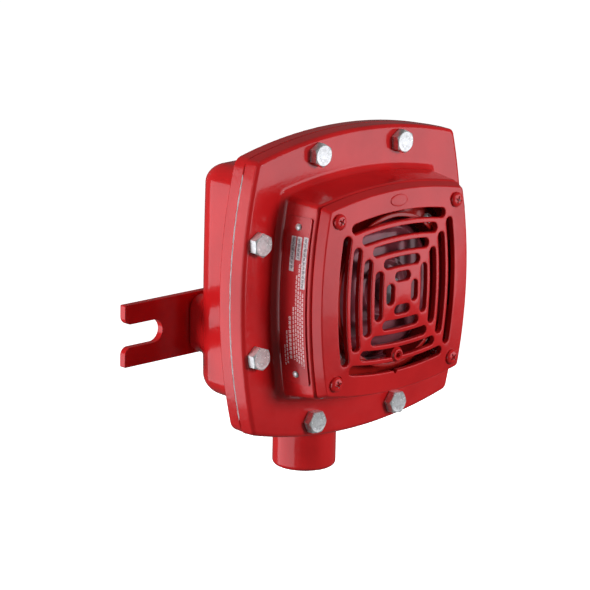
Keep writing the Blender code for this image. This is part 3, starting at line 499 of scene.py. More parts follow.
def slope_of(distance, points, step=0.00005):
    """The distance function's gradient at each point."""
    slopes = []
    for axis in range(3):
        shift = np.zeros(3)
        shift[axis] = step
        slopes.append((distance(*(points + shift).T) - distance(*(points - shift).T)) / (2 * step))
    return np.stack(slopes, axis=1)


def drawn_onto(distance, points, rounds=3):
    """Move points along the gradient to where the distance is zero."""
    for _ in range(rounds):
        slope = slope_of(distance, points)
        length = np.maximum((slope**2).sum(axis=1), 0.25)
        points = points - (distance(*points.T) / length)[:, None] * slope
    return points


def net_mesh(name, distance, axes):
    """A surface net as a smooth mesh whose normals come from the distance function."""
    points, faces = surface_net(distance, axes)
    mesh = bpy.data.meshes.new(name)
    mesh.from_pydata(points.tolist(), [], faces.tolist())
    mesh.update()
    mesh.shade_smooth()
    normals = slope_of(distance, points)
    mesh.normals_split_custom_set_from_vertices(normals / np.linalg.norm(normals, axis=1)[:, None])
    return mesh


def graded(stretches):
    """Grid lines over stretches of (start, end, step)."""
    lines = [np.linspace(a, b, max(2, round((b - a) / step) + 1)) for a, b, step in stretches]
    return np.unique(np.round(np.concatenate(lines), 7))


# ---- materials


WORN_AND_HIGHLIT_EDGE_FROM = 0.084  # how far out to the left the parting edge shows bare metal, which there also stands as a painted highlight
CHAMBER_REACH = 0.061
RECESS_REACH = 0.0025
RECESS_TOP = 0.0019
WORN_METALLIC = 0.3
WORN_DULLNESS = 0.3


class Nodes:
    """A short way to build a material's node tree."""

    def __init__(self, name, roughness, metallic=0.0, **inputs):
        self.material = bpy.data.materials.new(name)
        self.material.use_nodes = True
        self.tree = self.material.node_tree
        self.shader = self.tree.nodes["Principled BSDF"]
        self.place = self.add("ShaderNodeTexCoord").outputs["Object"]
        self.set(self.shader, Roughness=roughness, Metallic=metallic, **inputs)

    def set(self, node, **inputs):
        for name, value in inputs.items():
            node.inputs[name.replace("_", " ")].default_value = value
        return node

    def add(self, kind, **settings):
        node = self.tree.nodes.new(kind)
        for name, value in settings.items():
            setattr(node, name, value)
        return node

    def link(self, output, node, name):
        self.tree.links.new(output, node.inputs[name])

    def noise(self, scale, detail=3.0, roughness=0.5, distortion=0.0, stretch=(1, 1, 1)):
        mapping = self.set(self.add("ShaderNodeMapping"), Scale=stretch)
        self.link(self.place, mapping, "Vector")
        node = self.add("ShaderNodeTexNoise")
        self.set(node, Scale=scale, Detail=detail, Roughness=roughness, Distortion=distortion)
        self.link(mapping.outputs[0], node, "Vector")
        return node.outputs["Fac"]

    def ramp(self, value, stops):
        node = self.add("ShaderNodeValToRGB")
        while len(node.color_ramp.elements) < len(stops):
            node.color_ramp.elements.new(0.5)
        for element, (position, colour) in zip(node.color_ramp.elements, stops):
            element.position = position
            element.color = (*colour, 1)
        self.link(value, node, "Fac")
        return node.outputs["Color"]

    def span(self, value, low, high):
        node = self.set(self.add("ShaderNodeMapRange"), To_Min=low, To_Max=high)
        self.link(value, node, "Value")
        return node.outputs["Result"]

    def maths(self, operation, a, b):
        node = self.add("ShaderNodeMath", operation=operation)
        for i, value in enumerate((a, b)):
            if isinstance(value, (int, float)):
                node.inputs[i].default_value = value
            else:
                self.tree.links.new(value, node.inputs[i])
        return node.outputs[0]

    def parts(self, output):
        node = self.add("ShaderNodeSeparateXYZ")
        self.link(output, node, "Vector")
        return node.outputs

    def left_edge_at(self, depth, reach):
        """1 close to one depth on the far left of the castings, with a ragged limit, and 0 elsewhere: bare
        metal kept to the lit left side, partly a painted highlight.
        """
        x, y, _ = self.parts(self.place).values()
        off = self.maths("ABSOLUTE", self.maths("SUBTRACT", y, depth), 0.0)
        ragged = self.maths("MULTIPLY", self.span(self.noise(180, 4, 0.6), 0.1, 1.7), reach)
        close, far_left = self.maths("LESS_THAN", off, ragged), self.maths("LESS_THAN", x, -WORN_AND_HIGHLIT_EDGE_FROM)
        return self.maths("MULTIPLY", close, far_left)

    def sound_chamber_shade_mask(self):
        """1 on the walls and floor of the cover's sound chamber, where shade is painted in, and 0
        elsewhere.
        """
        x, y, z = self.parts(self.place).values()
        reach = self.maths("ADD", self.maths("MULTIPLY", x, x), self.maths("MULTIPLY", z, z))
        behind_rim = self.maths("GREATER_THAN", y, BOX_RIM + 0.001)
        before_flange = self.maths("LESS_THAN", y, FLANGE_FRONT - 0.001)
        between = self.maths("MULTIPLY", behind_rim, before_flange)
        return self.maths("MULTIPLY", self.maths("LESS_THAN", reach, CHAMBER_REACH**2), between)

    def mix(self, factor, a, b):
        node = self.add("ShaderNodeMix", data_type="RGBA")
        self.tree.links.new(factor, node.inputs[0])
        for socket, value in ((node.inputs[6], a), (node.inputs[7], b)):
            if isinstance(value, tuple):
                socket.default_value = (*value, 1)
            else:
                self.tree.links.new(value, socket)
        return node.outputs[2]

    def wear(self, paint, gloss, bare, metal):
        """Show bare metal through the paint where `bare` is 1."""
        self.colour(self.mix(bare, paint, metal))
        self.link(self.maths("MULTIPLY", bare, WORN_METALLIC), self.shader, "Metallic")
        dull = self.maths("MULTIPLY", bare, WORN_DULLNESS)
        self.roughness(self.maths("ADD", gloss, dull))

    def colour(self, output):
        self.link(output, self.shader, "Base Color")

    def roughness(self, output):
        self.link(output, self.shader, "Roughness")

    def bump(self, *layers):
        """Stack bumps, each (height, distance in metres, strength)."""
        normal = None
        for height, distance, strength in layers:
            node = self.set(self.add("ShaderNodeBump"), Strength=strength, Distance=distance)
            self.link(height, node, "Height")
            if normal:
                self.link(normal, node, "Normal")
            normal = node.outputs["Normal"]
        self.link(normal, self.shader, "Normal")


def cast_enamel(name, colour, deep, roughness=(0.14, 0.22), waviness=0.0003, grain=0.00006, body=False):
    """Gloss enamel over a casting: uneven ground under it and orange peel on top.

    On the body castings, the sound chamber is darkened with painted shade. Bare metal shows on the parting
    edge, kept to the lit left side, where it is partly a painted highlight.
    """
    m = Nodes(name, 0.2, Coat_Weight=0.35, Coat_Roughness=0.05)
    paint = m.ramp(m.noise(28, 4), [(0.3, deep), (0.62, colour)])
    gloss = m.span(m.noise(140, 3), *roughness)
    if body:
        # Painted shade: the sound chamber is darkened to the colour of its shade.
        paint = m.mix(m.sound_chamber_shade_mask(), paint, CHAMBER_PAINTED_SHADE)
        # Bare metal on the parting edge, kept to the lit left side, where it is partly a painted
        # highlight.
        m.wear(paint, gloss, m.left_edge_at(PARTING, 0.0005), WORN_AND_HIGHLIT_EDGE)
    else:
        m.colour(paint)
        m.roughness(gloss)
    m.bump(
        (m.noise(95, 2.0, 0.5), waviness, 0.5),
        (m.noise(380, 2.5, 0.55), grain, 0.5),
    )
    return m.material


def mottled(name, colour, gloss, *bumps, metallic=0.0, **inputs):
    """A finish whose colour, gloss and bumps each follow a noise of their own.

    A noise is the arguments of Nodes.noise. colour is (noise, two colour stops), gloss is (noise, lowest
    and highest roughness), and a bump is (noise, distance in metres, strength).
    """
    colour_noise, *stops = colour
    gloss_noise, smooth, rough = gloss
    m = Nodes(name, smooth, metallic, **inputs)
    m.colour(m.ramp(m.noise(*colour_noise), stops))
    m.roughness(m.span(m.noise(*gloss_noise), smooth, rough))
    m.bump(*((m.noise(*noise), distance, strength) for noise, distance, strength in bumps))
    return m.material


def diaphragm_lacquer():
    """Dark lacquered sheet metal, glossy and slightly wavy."""
    colour = ((60, 4), (0.3, (0.13, 0.022, 0.030)), (0.7, (0.26, 0.055, 0.075)))
    waves, grain = ((45, 2), 0.0003, 0.5), ((500, 2), 0.00003, 0.5)
    look = {"metallic": 0.35, "Coat_Weight": 0.4, "Coat_Roughness": 0.06}
    return mottled("diaphragm_lacquer", colour, ((180, 3), 0.12, 0.24), waves, grain, **look)


def zinc_plate():
    """Bright zinc on rolled hexagon stock: cloudy, faintly brushed, with a few dull marks."""
    colour = ((420, 5, 0.65, 0.6), (0.34, (0.60, 0.61, 0.60)), (0.60, (0.90, 0.91, 0.90)))
    clouds, brushing = ((620, 3), 0.0001, 0.6), ((900, 2, 0.5, 0, (1, 1, 9)), 0.00002, 0.4)
    return mottled("zinc_plate", colour, ((500, 4, 0.6), 0.16, 0.34), clouds, brushing, metallic=0.6)


def screw_enamel():
    """Painted screw head with the paint broken in its cross recess."""
    m = Nodes("screw_enamel", 0.2, Coat_Weight=0.35, Coat_Roughness=0.05)
    paint = m.ramp(m.noise(60, 4), [(0.3, DEEP_RED), (0.62, RED)])
    x, y, z = m.parts(m.place).values()
    reach = m.maths("ADD", m.maths("MULTIPLY", x, x), m.maths("MULTIPLY", y, y))
    near = m.maths("LESS_THAN", reach, RECESS_REACH**2)
    recess = m.maths("MULTIPLY", near, m.maths("LESS_THAN", z, RECESS_TOP))
    worn = m.maths("MULTIPLY", recess, m.maths("GREATER_THAN", m.noise(900, 2), 0.56))
    m.wear(paint, m.span(m.noise(140, 3), 0.14, 0.24), worn, (0.8, 0.8, 0.8))
    m.bump((m.noise(500, 2), 0.00005, 0.5))
    return m.material


def plain_steel(name="plain_steel", tint=(0.52, 0.52, 0.53)):
    """Rolled steel with a fine grain along its length."""
    dark = tuple(0.62 * c for c in tint)
    colour = ((120, 4, 0.6), (0.3, dark), (0.7, tint))
    grain = ((700, 3, 0.5, 0, (1, 12, 1)), 0.00002, 0.6)
    return mottled(name, colour, ((260, 4), 0.28, 0.5), grain, metallic=1.0)


def turned_brass():
    colour = ((160, 4, 0.6), (0.3, (0.48, 0.32, 0.10)), (0.7, (0.80, 0.60, 0.27)))
    return mottled("turned_brass", colour, ((300, 3), 0.2, 0.42), ((800, 2), 0.00002, 0.6), metallic=1.0)


def winding_copper():
    """Lacquered turns of wire around the horn's axis."""
    m = Nodes("winding_copper", 0.28, 0.6, Coat_Weight=0.5, Coat_Roughness=0.1)
    wave = m.add("ShaderNodeTexWave", wave_type="BANDS", bands_direction="Y")
    m.set(wave, Scale=320.0, Distortion=0.6, Detail=1.0)
    m.link(m.place, wave, "Vector")
    m.colour(m.ramp(wave.outputs["Fac"], [(0.1, (0.25, 0.07, 0.02)), (0.7, (0.66, 0.27, 0.09))]))
    m.bump((wave.outputs["Fac"], 0.0002, 0.8))
    return m.material


def moulded(name, colour, roughness=(0.38, 0.55), grain=600):
    """Moulded or pressed material with a fine grain."""
    lighter = tuple(1.5 * c + 0.01 for c in colour)
    stops = ((0.35, colour), (0.75, lighter))
    return mottled(name, ((90, 4), *stops), ((200, 3), *roughness), ((grain, 3), 0.00004, 0.6))


def label_ink(name, dull, clean):
    """Printed ink, patchy from handling."""
    colour = ((700, 4), (0.35, dull), (0.65, clean))
    return mottled(name, colour, ((300, 3), 0.3, 0.5), ((500, 2), 0.00002, 0.5))


RED = (0.585, 0.012, 0.0135)
DEEP_RED = (0.47, 0.008, 0.0095)
# Painted shade: the sound chamber's walls and floor, darkened for the shade they lie in.
CHAMBER_PAINTED_SHADE = (0.13, 0.009, 0.008)
# Painted shade: darker copies of the red enamel for the clamping ring and the parts inside, which sit in
# shade behind the grille.
INNER_SHADE_RED = (0.36, 0.011, 0.009)
DEEP_INNER_SHADE_RED = (0.28, 0.009, 0.007)
PLATE_RED = (0.44, 0.008, 0.010)
# Bare metal of the parting edge, bright enough to be partly a painted highlight.
WORN_AND_HIGHLIT_EDGE = (0.90, 0.86, 0.86)
MATERIALS = {
    "casting": cast_enamel("cast_enamel", RED, DEEP_RED, grain=0.00013, body=True),
    "grille": cast_enamel("grille_enamel", RED, DEEP_RED, (0.18, 0.26), 0.00012, 0.00009),
    "bar": cast_enamel("bar_enamel", RED, DEEP_RED, (0.16, 0.26), 0.00008),
    # Painted shade: the inner enamel is the red darkened for the shade behind the grille.
    "inner": cast_enamel("inner_enamel_painted_shade", INNER_SHADE_RED, DEEP_INNER_SHADE_RED, (0.14, 0.24), 0.00006),
    "diaphragm": diaphragm_lacquer(),
    "screw": screw_enamel(),
    "zinc": zinc_plate(),
    "steel": plain_steel(),
    "brass": turned_brass(),
    "copper": winding_copper(),
    "phenolic": moulded("phenolic", (0.018, 0.018, 0.02)),
    "gasket": moulded("gasket_sheet", (0.035, 0.035, 0.035), (0.7, 0.9), 300),
    "green": plain_steel("green_dyed_steel", (0.06, 0.34, 0.10)),
    "lead": moulded("lead_insulation", (0.02, 0.02, 0.022), (0.3, 0.45), 900),
    "label": label_ink("label_grey", (0.42, 0.33, 0.34), (0.78, 0.71, 0.72)),
    "print": label_ink("print_white", (0.72, 0.60, 0.61), (0.92, 0.88, 0.88)),
    "plate": cast_enamel("plate_enamel", DEEP_RED, PLATE_RED, (0.16, 0.26), 0.00003),
}
FINISH_OF_SLOT = {
    "red_enamel": "inner",
    "grille_enamel": "grille",
    "zinc": "zinc",
    "steel": "steel",
    "brass": "brass",
    "copper_winding": "copper",
    "black_plastic": "phenolic",
    "gasket": "gasket",
    "nameplate": "plate",
    "green_screw": "green",
    "lead_insulation": "lead",
}


def finish_cad_nodes():
    """Give every node that stays from the CAD model the finish of its own slot."""
    for node in NODES.values():
        for slot in node.material_slots:
            base = slot.material.name.split(".")[0]
            slot.material = MATERIALS[FINISH_OF_SLOT[base]]


# ---- placing pieces, and the castings


def add_piece(name, mesh, material, slot, *replaced, body="horn", at=(0, 0, 0), facing=None, spin=0.0):
    """Place a mesh in the horn's terms. A fastener's mesh runs along +Z, which is turned to `facing`."""
    obj = bpy.data.objects.new(name, mesh)
    bpy.context.scene.collection.objects.link(obj)
    obj.location = ORIGIN + Vector(at)
    if facing is not None:
        turn = facing.to_track_quat("Z", "Y").to_matrix() @ Matrix.Rotation(spin, 3, "Z")
        obj.rotation_euler = turn.to_euler()
    if not mesh.materials:
        mesh.materials.append(MATERIALS[material])
    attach(obj, body)
    if replaced:
        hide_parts(*replaced)
    return obj


def keep_faces_flat(obj):
    """Weight normals by face area, so that rounded edges don't shade the flats beside them."""
    modifier = obj.modifiers.new("flat_faces", "WEIGHTED_NORMAL")
    modifier.keep_sharp = True
    modifier.weight = 80


def make_front_cover():
    """Lofted from the chamber's floor over the rim, down the box, round the flange and up inside it."""
    wall_half = BOX_RIM_HALF - RIM_WIDTH
    face = PARTING - HALF_GAP
    path = [
        (0.030, BOX_BULGE, 0.016, CHAMBER_FLOOR, 0),
        (wall_half - 0.0005, BOX_BULGE, 0.024, CHAMBER_FLOOR, 0.002),
        (wall_half, BOX_BULGE, 0.024, BOX_RIM, 0.0008),
        (BOX_RIM_HALF, BOX_BULGE, 0.0032, BOX_RIM, 0.0022),
        (BOX_BASE_HALF, BOX_BULGE, 0.0050, FLANGE_FRONT, 0.0042),
        (FLANGE_HALF - 0.0004, FLANGE_BULGE, FLANGE_CORNER, FLANGE_FRONT, 0.0024),
        (FLANGE_HALF, FLANGE_BULGE, FLANGE_CORNER, face, CAST_EDGE),
        (SKIRT_HALF + 0.002, 0.005, 0.009, face, CAST_EDGE),
        (SKIRT_HALF, 0.005, 0.009, PARTITION_REAR, 0.002),
        (0.030, 0.005, 0.009, PARTITION_REAR, 0),
    ]
    mesh = finished(lofted_path(path), "front_cover_casting")
    mesh = join(mesh, rods([(0, 0)], PARTITION_REAR - OVERRUN, BUSHING_SEAT, BUSHING_BOSS_RADIUS))
    mesh = cut(mesh, rods([(0, 0)], 0.010, RECESS_FLOOR, RECESS_RADIUS, 96))
    mesh = cut(mesh, rods([(0, 0)], 0.012, BUSHING_SEAT + 0.002, BUSHING_RADIUS))
    for places, start, end, radius in (
        (corners_at(BOLT_NEAR, BOLT_FAR), FLANGE_FRONT, PARTING + OVERRUN, BOLT_RADIUS + BOLT_CLEARANCE),
        (corners_at(GRILLE_SCREW_AT), BOX_RIM, GRILLE_TAP_END, SCREW_TAPPED),
        (corners_at(RING_SCREW_AT), CHAMBER_FLOOR, RING_TAP_END, SCREW_TAPPED),
    ):
        mesh = cut(mesh, rods(places, start - OVERRUN, end, radius))
    cover = add_piece("front_cover_casting", shaded(mesh), "casting", "red_enamel", "front_cover")
    keep_faces_flat(cover)


def bowed_square_field(x, z, half, bulge, corner):
    """Distance to a bowed square, as bowed_square draws it."""
    radius, centre = side_circle(half, bulge)
    x, z = np.abs(x), np.abs(z)
    return round_and(np.hypot(x - centre, z) - radius, np.hypot(x, z - centre) - radius, corner)


def housing_field(x, y, z):
    """The cast tub with its flange, pad and hub, as a signed distance."""
    draft = TUB_DRAFT * np.clip((y - FLANGE_REAR) / (TUB_REAR - FLANGE_REAR), 0, 1)
    tub = bowed_square_field(x, z, TUB_HALF, TUB_BULGE, TUB_CORNER) + draft
    tub = round_and(tub, y - TUB_REAR, TUB_EDGE)
    flange = bowed_square_field(x, z, FLANGE_HALF, FLANGE_BULGE, FLANGE_CORNER)
    flange = round_and(flange + 0.05 * (y - PARTING), y - FLANGE_REAR, 0.0009)
    pad = round_and(np.abs(x) - PAD_HALF_WIDTH, np.abs(z - BRACKET_HEIGHT) - PAD_HALF_HEIGHT, PAD_CORNER)
    pad = round_and(pad, y - PAD_REAR, 0.0015)
    pad = np.maximum(pad, 0.090 - y)
    hub = round_and(np.hypot(x, y - HUB_DEPTH) - HUB_RADIUS, HUB_BOTTOM - z, HUB_EDGE)
    hub = np.maximum(hub, z + 0.060)
    solid = round_or(round_or(round_or(tub, flange, CAST_FILLET), hub, CAST_FILLET), pad, CAST_FILLET)
    cavity = bowed_square_field(x, z, TUB_HALF - TUB_WALL, TUB_BULGE, 0.009) + 0.8 * draft
    solid = round_and(solid, -round_and(cavity, y - TUB_FLOOR, 0.006), 0.0006)
    solid = round_and(solid, PARTING + HALF_GAP - y, CAST_EDGE)
    bore = np.maximum(np.hypot(x, y - HUB_DEPTH) - CONDUIT_RADIUS, z + 0.050)
    solid = round_and(solid, -bore, 0.0012)
    across, up = np.abs(x), np.abs(z)
    near, far = np.minimum(across, up), np.maximum(across, up)
    bolt_hole = np.hypot(near - BOLT_NEAR, far - BOLT_FAR) - BOLT_RADIUS - BOLT_CLEARANCE
    bolt_hole = np.maximum(bolt_hole, y - BOLT_HOLE_END)
    bracket_hole = np.hypot(across - BRACKET_SCREW_AT, z - BRACKET_HEIGHT) - BRACKET_TAP_RADIUS
    bracket_hole = np.maximum(bracket_hole, BRACKET_TAP_END - y)
    return np.maximum(solid, -np.minimum(bolt_hole, bracket_hole))


def make_rear_housing():
    """The housing, on a grid that is finest where its edges and fillets are."""
    side = [(0.0, 0.0601, 0.0017), (0.0601, 0.076, 0.0012), (0.076, 0.0945, 0.0008)]
    across = graded(side)
    across = np.unique(np.concatenate([-across, across]))
    up = np.unique(np.concatenate([across, graded([(HUB_BOTTOM - 0.002, -0.0945, 0.0011)])]))
    flange = [(0.0432, 0.0456, 0.0006), (0.0456, 0.0520, 0.0013), (0.0520, 0.0580, 0.0007)]
    depth = graded(flange + [(0.0580, 0.0840, 0.0017), (0.0840, 0.1110, 0.0011)])
    mesh = net_mesh("rear_housing_casting", housing_field, (across, depth, up))
    add_piece("rear_housing_casting", mesh, "casting", "red_enamel", "rear_housing")


# ---- grille


def outline_scale(x, z):
    """How large the grille's outline is where it passes through each point, from 0 to 1 at the edge."""
    radius, centre = side_circle(GRILLE_HALF, GRILLE_BULGE)
    half_sum = (np.abs(x) + np.abs(z)) / 2
    half_gap = (np.abs(x) - np.abs(z)) / 2
    far = half_sum + np.hypot(half_gap, MITRE_SOFTNESS)
    near = half_sum - np.hypot(half_gap, MITRE_SOFTNESS)
    spread = radius**2 - centre**2
    return (np.sqrt((far * centre) ** 2 + spread * (far**2 + near**2)) - far * centre) / spread


def face_depth(points):
    """Depth of the grille's face, a low pyramid with soft mitres and a rounded tip."""
    reach = outline_scale(points[:, 0], points[:, 1]) * (GRILLE_HALF + GRILLE_BULGE)
    return GRILLE_SLOPE * (np.hypot(reach, GRILLE_CROWN_ROUND) - GRILLE_CROWN_ROUND) - GRILLE_CROWN


def inside(points, outline):
    """Which points lie inside a closed outline."""
    x, z = points[:, :1], points[:, 1:]
    a, b = outline, np.roll(outline, -1, axis=0)
    crosses = (a[:, 1] > z) != (b[:, 1] > z)
    rise = np.where(b[:, 1] == a[:, 1], 1, b[:, 1] - a[:, 1])
    at = a[:, 0] + (z - a[:, 1]) * (b[:, 0] - a[:, 0]) / rise
    return (crosses & (x < at)).sum(axis=1) % 2 == 1


def distance_to(points, outline):
    """Distance from each point to the nearest outline vertex."""
    return np.sqrt(((points[:, None] - outline[None]) ** 2).sum(axis=2)).min(axis=1)


def sheet_faces(outer, gaps, lines, spacing):
    """Points and triangles that fill an outline around some gaps, along some lines.

    The points between them are scattered on a slightly swaying grid, so that the triangles are even.
    """
    rows = np.arange(-0.064, 0.064, spacing)
    x, z = np.meshgrid(rows, rows * 0.97)
    scattered = np.stack([x.ravel() + 0.25 * spacing * np.sin(900 * z.ravel()), z.ravel()], axis=1)
    free = inside(scattered, outer)
    for gap in gaps:
        free &= ~inside(scattered, gap)
    scattered = scattered[free]
    fixed = np.concatenate([outer, *gaps, *lines])
    scattered = scattered[distance_to(scattered, fixed) > 0.62 * spacing]
    points, edges = [], []
    for loop in (outer, *gaps):
        start = len(points)
        points += loop.tolist()
        edges += [(start + i, start + (i + 1) % len(loop)) for i in range(len(loop))]
    for line in lines:
        start = len(points)
        points += line.tolist()
        edges += [(start + i, start + i + 1) for i in range(len(line) - 1)]
    points += scattered.tolist()
    made = geometry.delaunay_2d_cdt([Vector(p) for p in points], edges, [], 0, 1e-7)
    spots = np.array([tuple(p) for p in made[0]])
    triangles = np.array(made[2])
    centres = spots[triangles].mean(axis=1)
    kept = inside(centres, outer)
    for gap in gaps:
        kept &= ~inside(centres, gap)
    return spots, triangles[kept]


def add_sheet(bm, spots, triangles, depths):
    """Triangles on (x, height) points, each at its own depth."""
    verts = [bm.verts.new(point) for point in at_depth(spots, depths)]
    for triangle in triangles:
        bm.faces.new([verts[i] for i in triangle])


def mitre_lines(inner, outer, steps=26):
    """The four diagonals along which the sides of the grille's face meet."""
    reach = np.linspace(inner, outer, steps)
    return [np.stack([sx * reach, sz * reach], axis=1) for sx, sz in product((1, -1), repeat=2)]


GRILLE_SLOTS = [(row, side) for row in range(SLOT_ROWS) for side in range(4)]


def add_grille_front(bm, rim):
    """Front face, with rounded edges and walls round every slot."""
    gaps = [capsule(row, side, SLOT_EDGE) for row, side in GRILLE_SLOTS]
    spots, triangles = sheet_faces(rim, gaps, mitre_lines(0.0008, GRILLE_HALF - 0.004), 0.0018)
    add_sheet(bm, spots, triangles, face_depth(spots))
    for row, side in GRILLE_SLOTS:
        rings = []
        for angle in np.linspace(pi / 2, 0, 4):
            outline = capsule(row, side, SLOT_EDGE * (1 - cos(angle)))
            rings.append(at_depth(outline, face_depth(outline) + SLOT_EDGE * (1 - sin(angle))))
        wall = capsule(row, side)
        rings.append(at_depth(wall, face_depth(wall) + GRILLE_WALL))
        add_band(bm, rings)


def add_grille_skirt(bm, rim, back):
    """Rounded outer edge and skirt, then the hollow behind, as far as the back of the face."""
    rim_depth = face_depth(rim)
    rings = [at_depth(rim, rim_depth)]
    for angle in np.linspace(pi / 2, 0, 6)[1:]:
        ring = bowed_square(GRILLE_RIM_HALF + GRILLE_EDGE * cos(angle), GRILLE_BULGE, GRILLE_CORNER)
        rings.append(at_depth(ring, rim_depth + GRILLE_EDGE * (1 - sin(angle))))
    for before_rear, inset in ((0.0007, 0.0001), (0.0002, 0.0003), (0, 0.0008), (0, 0.0045)):
        ring = bowed_square(GRILLE_SKIRT_HALF - inset, GRILLE_BULGE, GRILLE_CORNER)
        rings.append(at_depth(ring, GRILLE_REAR - before_rear))
    rings.append(at_depth(back, face_depth(back) + GRILLE_WALL))
    add_band(bm, rings)


def add_grille_back(bm, back):
    """Rear of the face, whose slots meet the ends of the slot walls."""
    gaps = [capsule(row, side) for row, side in GRILLE_SLOTS]
    spots, triangles = sheet_faces(back, gaps, mitre_lines(0.0008, GRILLE_HALF - 0.006), 0.0030)
    add_sheet(bm, spots, triangles, face_depth(spots) + GRILLE_WALL)


def with_adjuster_boss(mesh):
    """The grille with the boss of the adjusting screw on it: a flared foot, an eased rim and a bore."""
    centre = np.array([0, ADJUSTER_HEIGHT])
    face = float(face_depth(centre[None])[0])
    front, ease, foot = face - 0.0012, 0.0007, ADJUSTER_BOSS_RADIUS + 0.0009
    profile = [(foot, 0.0025), (foot, face + 0.0006), (foot - 0.0006, face + 0.0001)]
    profile.append((ADJUSTER_BOSS_RADIUS, front + ease))
    for angle in np.linspace(0, pi / 2, 6)[1:]:
        profile.append((ADJUSTER_BOSS_RADIUS - ease * (1 - cos(angle)), front + ease * (1 - sin(angle))))
    bore_radius = ADJUSTER_RADIUS + 0.0002
    bore = [(0.0030, front - 0.0002), (bore_radius, front + 0.0006), (bore_radius, 0.006)]
    boss, hole = (
        lofted_at_depths((circle(radius, 40) + centre, depth) for radius, depth in stations)
        for stations in (profile, bore)
    )
    return cut(join(mesh, boss), hole)


def make_grille():
    rim = bowed_square(GRILLE_RIM_HALF, GRILLE_BULGE, GRILLE_CORNER)
    back = bowed_square(GRILLE_HALF - 0.0035, GRILLE_BULGE, GRILLE_CORNER)
    bm = bmesh.new()
    add_grille_front(bm, rim)
    add_grille_skirt(bm, rim, back)
    add_grille_back(bm, back)
    bmesh.ops.remove_doubles(bm, verts=bm.verts, dist=0.000004)
    mesh = finished(bm, "grille_casting")
    mesh = cut(mesh, rods(corners_at(GRILLE_SCREW_AT), -0.004, GRILLE_SEAT, GRILLE_SEAT_RADIUS, 40))
    mesh = cut(mesh, rods(corners_at(GRILLE_SCREW_AT), -OVERRUN, 0.006, SCREW_CLEARANCE))
    mesh = with_adjuster_boss(mesh)
    # Drain notch in the lowest slot.
    low = SLOT_FIRST + SLOT_PITCH * (SLOT_ROWS - 1) + SLOT_WIDTH / 2
    notch = np.array([(-0.0030, 0.001 - low), (0, -0.0021 - low), (0.0030, 0.001 - low)])
    mesh = cut(mesh, lofted_at_depths((notch, depth) for depth in (-0.01, 0.006)))
    grille = add_piece("grille_casting", shaded(mesh, 28), "grille", "grille_enamel", "grille")
    keep_faces_flat(grille)


def make_badge_pad():
    """Plain oval pad in the middle of the grille's upper margin."""
    centre = np.array([0, PAD_HEIGHT_ON_GRILLE])
    rings = []
    for inset, rise in ((0, -0.0010), (0, 0.0001), (0.0001, 0.0003), (0.0004, 0.00042), (0.003, 0.00045)):
        ring = circle(1, 96) * (0.0070 - inset, 0.0036 - inset) + centre
        rings.append(at_depth(ring, face_depth(ring) - rise))
    add_piece("grille_pad", shaded(finished(loft(rings), "grille_pad")), "grille", "grille_enamel")


# ---- fasteners, along +Z, seat at z = 0


def fastener(name, head, shank_radius, length, steps=ROUND_STEPS):
    """A headed fastener: head is a list of (outline, height) from the seat up, the shank runs down."""
    shank = circle(shank_radius, steps)
    tip = circle(shank_radius - 0.0004, steps)
    stations = [(tip, -length), (shank, 0.0004 - length), (shank, 0.0)] + head
    return finished(lofted_at_heights(stations), name)


def chamfered_hexagon(flats, height, steps=ROUND_STEPS):
    """A hexagon head whose top is turned to a cone, which leaves curved facets at its corners."""
    outline = hexagon(flats, steps)
    directions = circle(1, steps)
    reach = np.hypot(*outline.T)
    top = 0.468 * flats
    stations = [(outline * 0.985, 0.0), (outline, 0.0002)]
    for drop in np.linspace(0.0009, 0, 8):
        stations.append((directions * np.minimum(reach, top + drop * sqrt(3))[:, None], height - drop))
    return stations


def hex_head(flats, height, steps=ROUND_STEPS):
    """A hexagon head with a barely hollow top."""
    hollow = [(0.44, 0.0), (0.42, 0.00002), (0.38, 0.00006), (0.2, 0.00009)]
    inner = [(circle(share * flats, steps), height - depth) for share, depth in hollow]
    return chamfered_hexagon(flats, height, steps) + inner


def raised_marks(mesh, radius, top):
    """Short raised bars in a ring on a bolt head, plainly spaced and without any lettering."""
    bm = bmesh.new()
    bm.from_mesh(mesh)
    for number in range(14):
        turn = Matrix.Rotation(tau * number / 14, 4, "Z")
        size = Matrix.Diagonal((0.0007 + 0.0005 * (number % 3 == 0), 0.0004, 0.0003, 1))
        place = Matrix.Translation((radius - 0.0004 * (number % 2), 0, top - 0.00012))
        bmesh.ops.create_cube(bm, size=1, matrix=turn @ place @ size)
    bm.to_mesh(mesh)
    bm.free()
    return mesh


def pan_head(radius, height, steps=ROUND_STEPS):
    """A low domed head with a small flat on top."""
    stations = [(circle(radius - 0.0001, steps), 0.0), (circle(radius, steps), 0.0001)]
    for angle in np.linspace(0.15, 1, 9) * pi / 2:
        reach = radius * (0.28 + 0.72 * cos(angle) ** 0.75) if angle < pi / 2 else radius * 0.28
        stations.append((circle(reach, steps), height * (0.3 + 0.7 * sin(angle))))
    return stations


def recessed(mesh, width, thickness, top, depth):
    """Cut a tapered cross into the top of a fastener."""
    reach, half = width / 2, thickness / 2
    quarter = np.array([(reach, -half), (reach, half), (half, half)])
    plus = np.concatenate([turned_about_axis(quarter, turn * pi / 2) for turn in range(4)])
    levels = ((top - depth, 0.45), (top + depth, 1.55))
    return cut(mesh, lofted_at_heights((plus * scale, z) for z, scale in levels))


FRONTWARD = Vector((0, -1, 0))
REARWARD = Vector((0, 1, 0))


def add_fasteners(name, mesh, places, spins, facing=FRONTWARD, material="zinc", slot="zinc"):
    """One copy of a fastener at each place, in place of the CAD nodes name_1, name_2 and so on."""
    added = []
    for number, (at, spin) in enumerate(zip(places, spins), start=1):
        node = f"{name}_{number}"
        added.append(
            add_piece(f"{node}_head", mesh, material, slot, node, at=at, facing=facing, spin=radians(spin))
        )
    return added


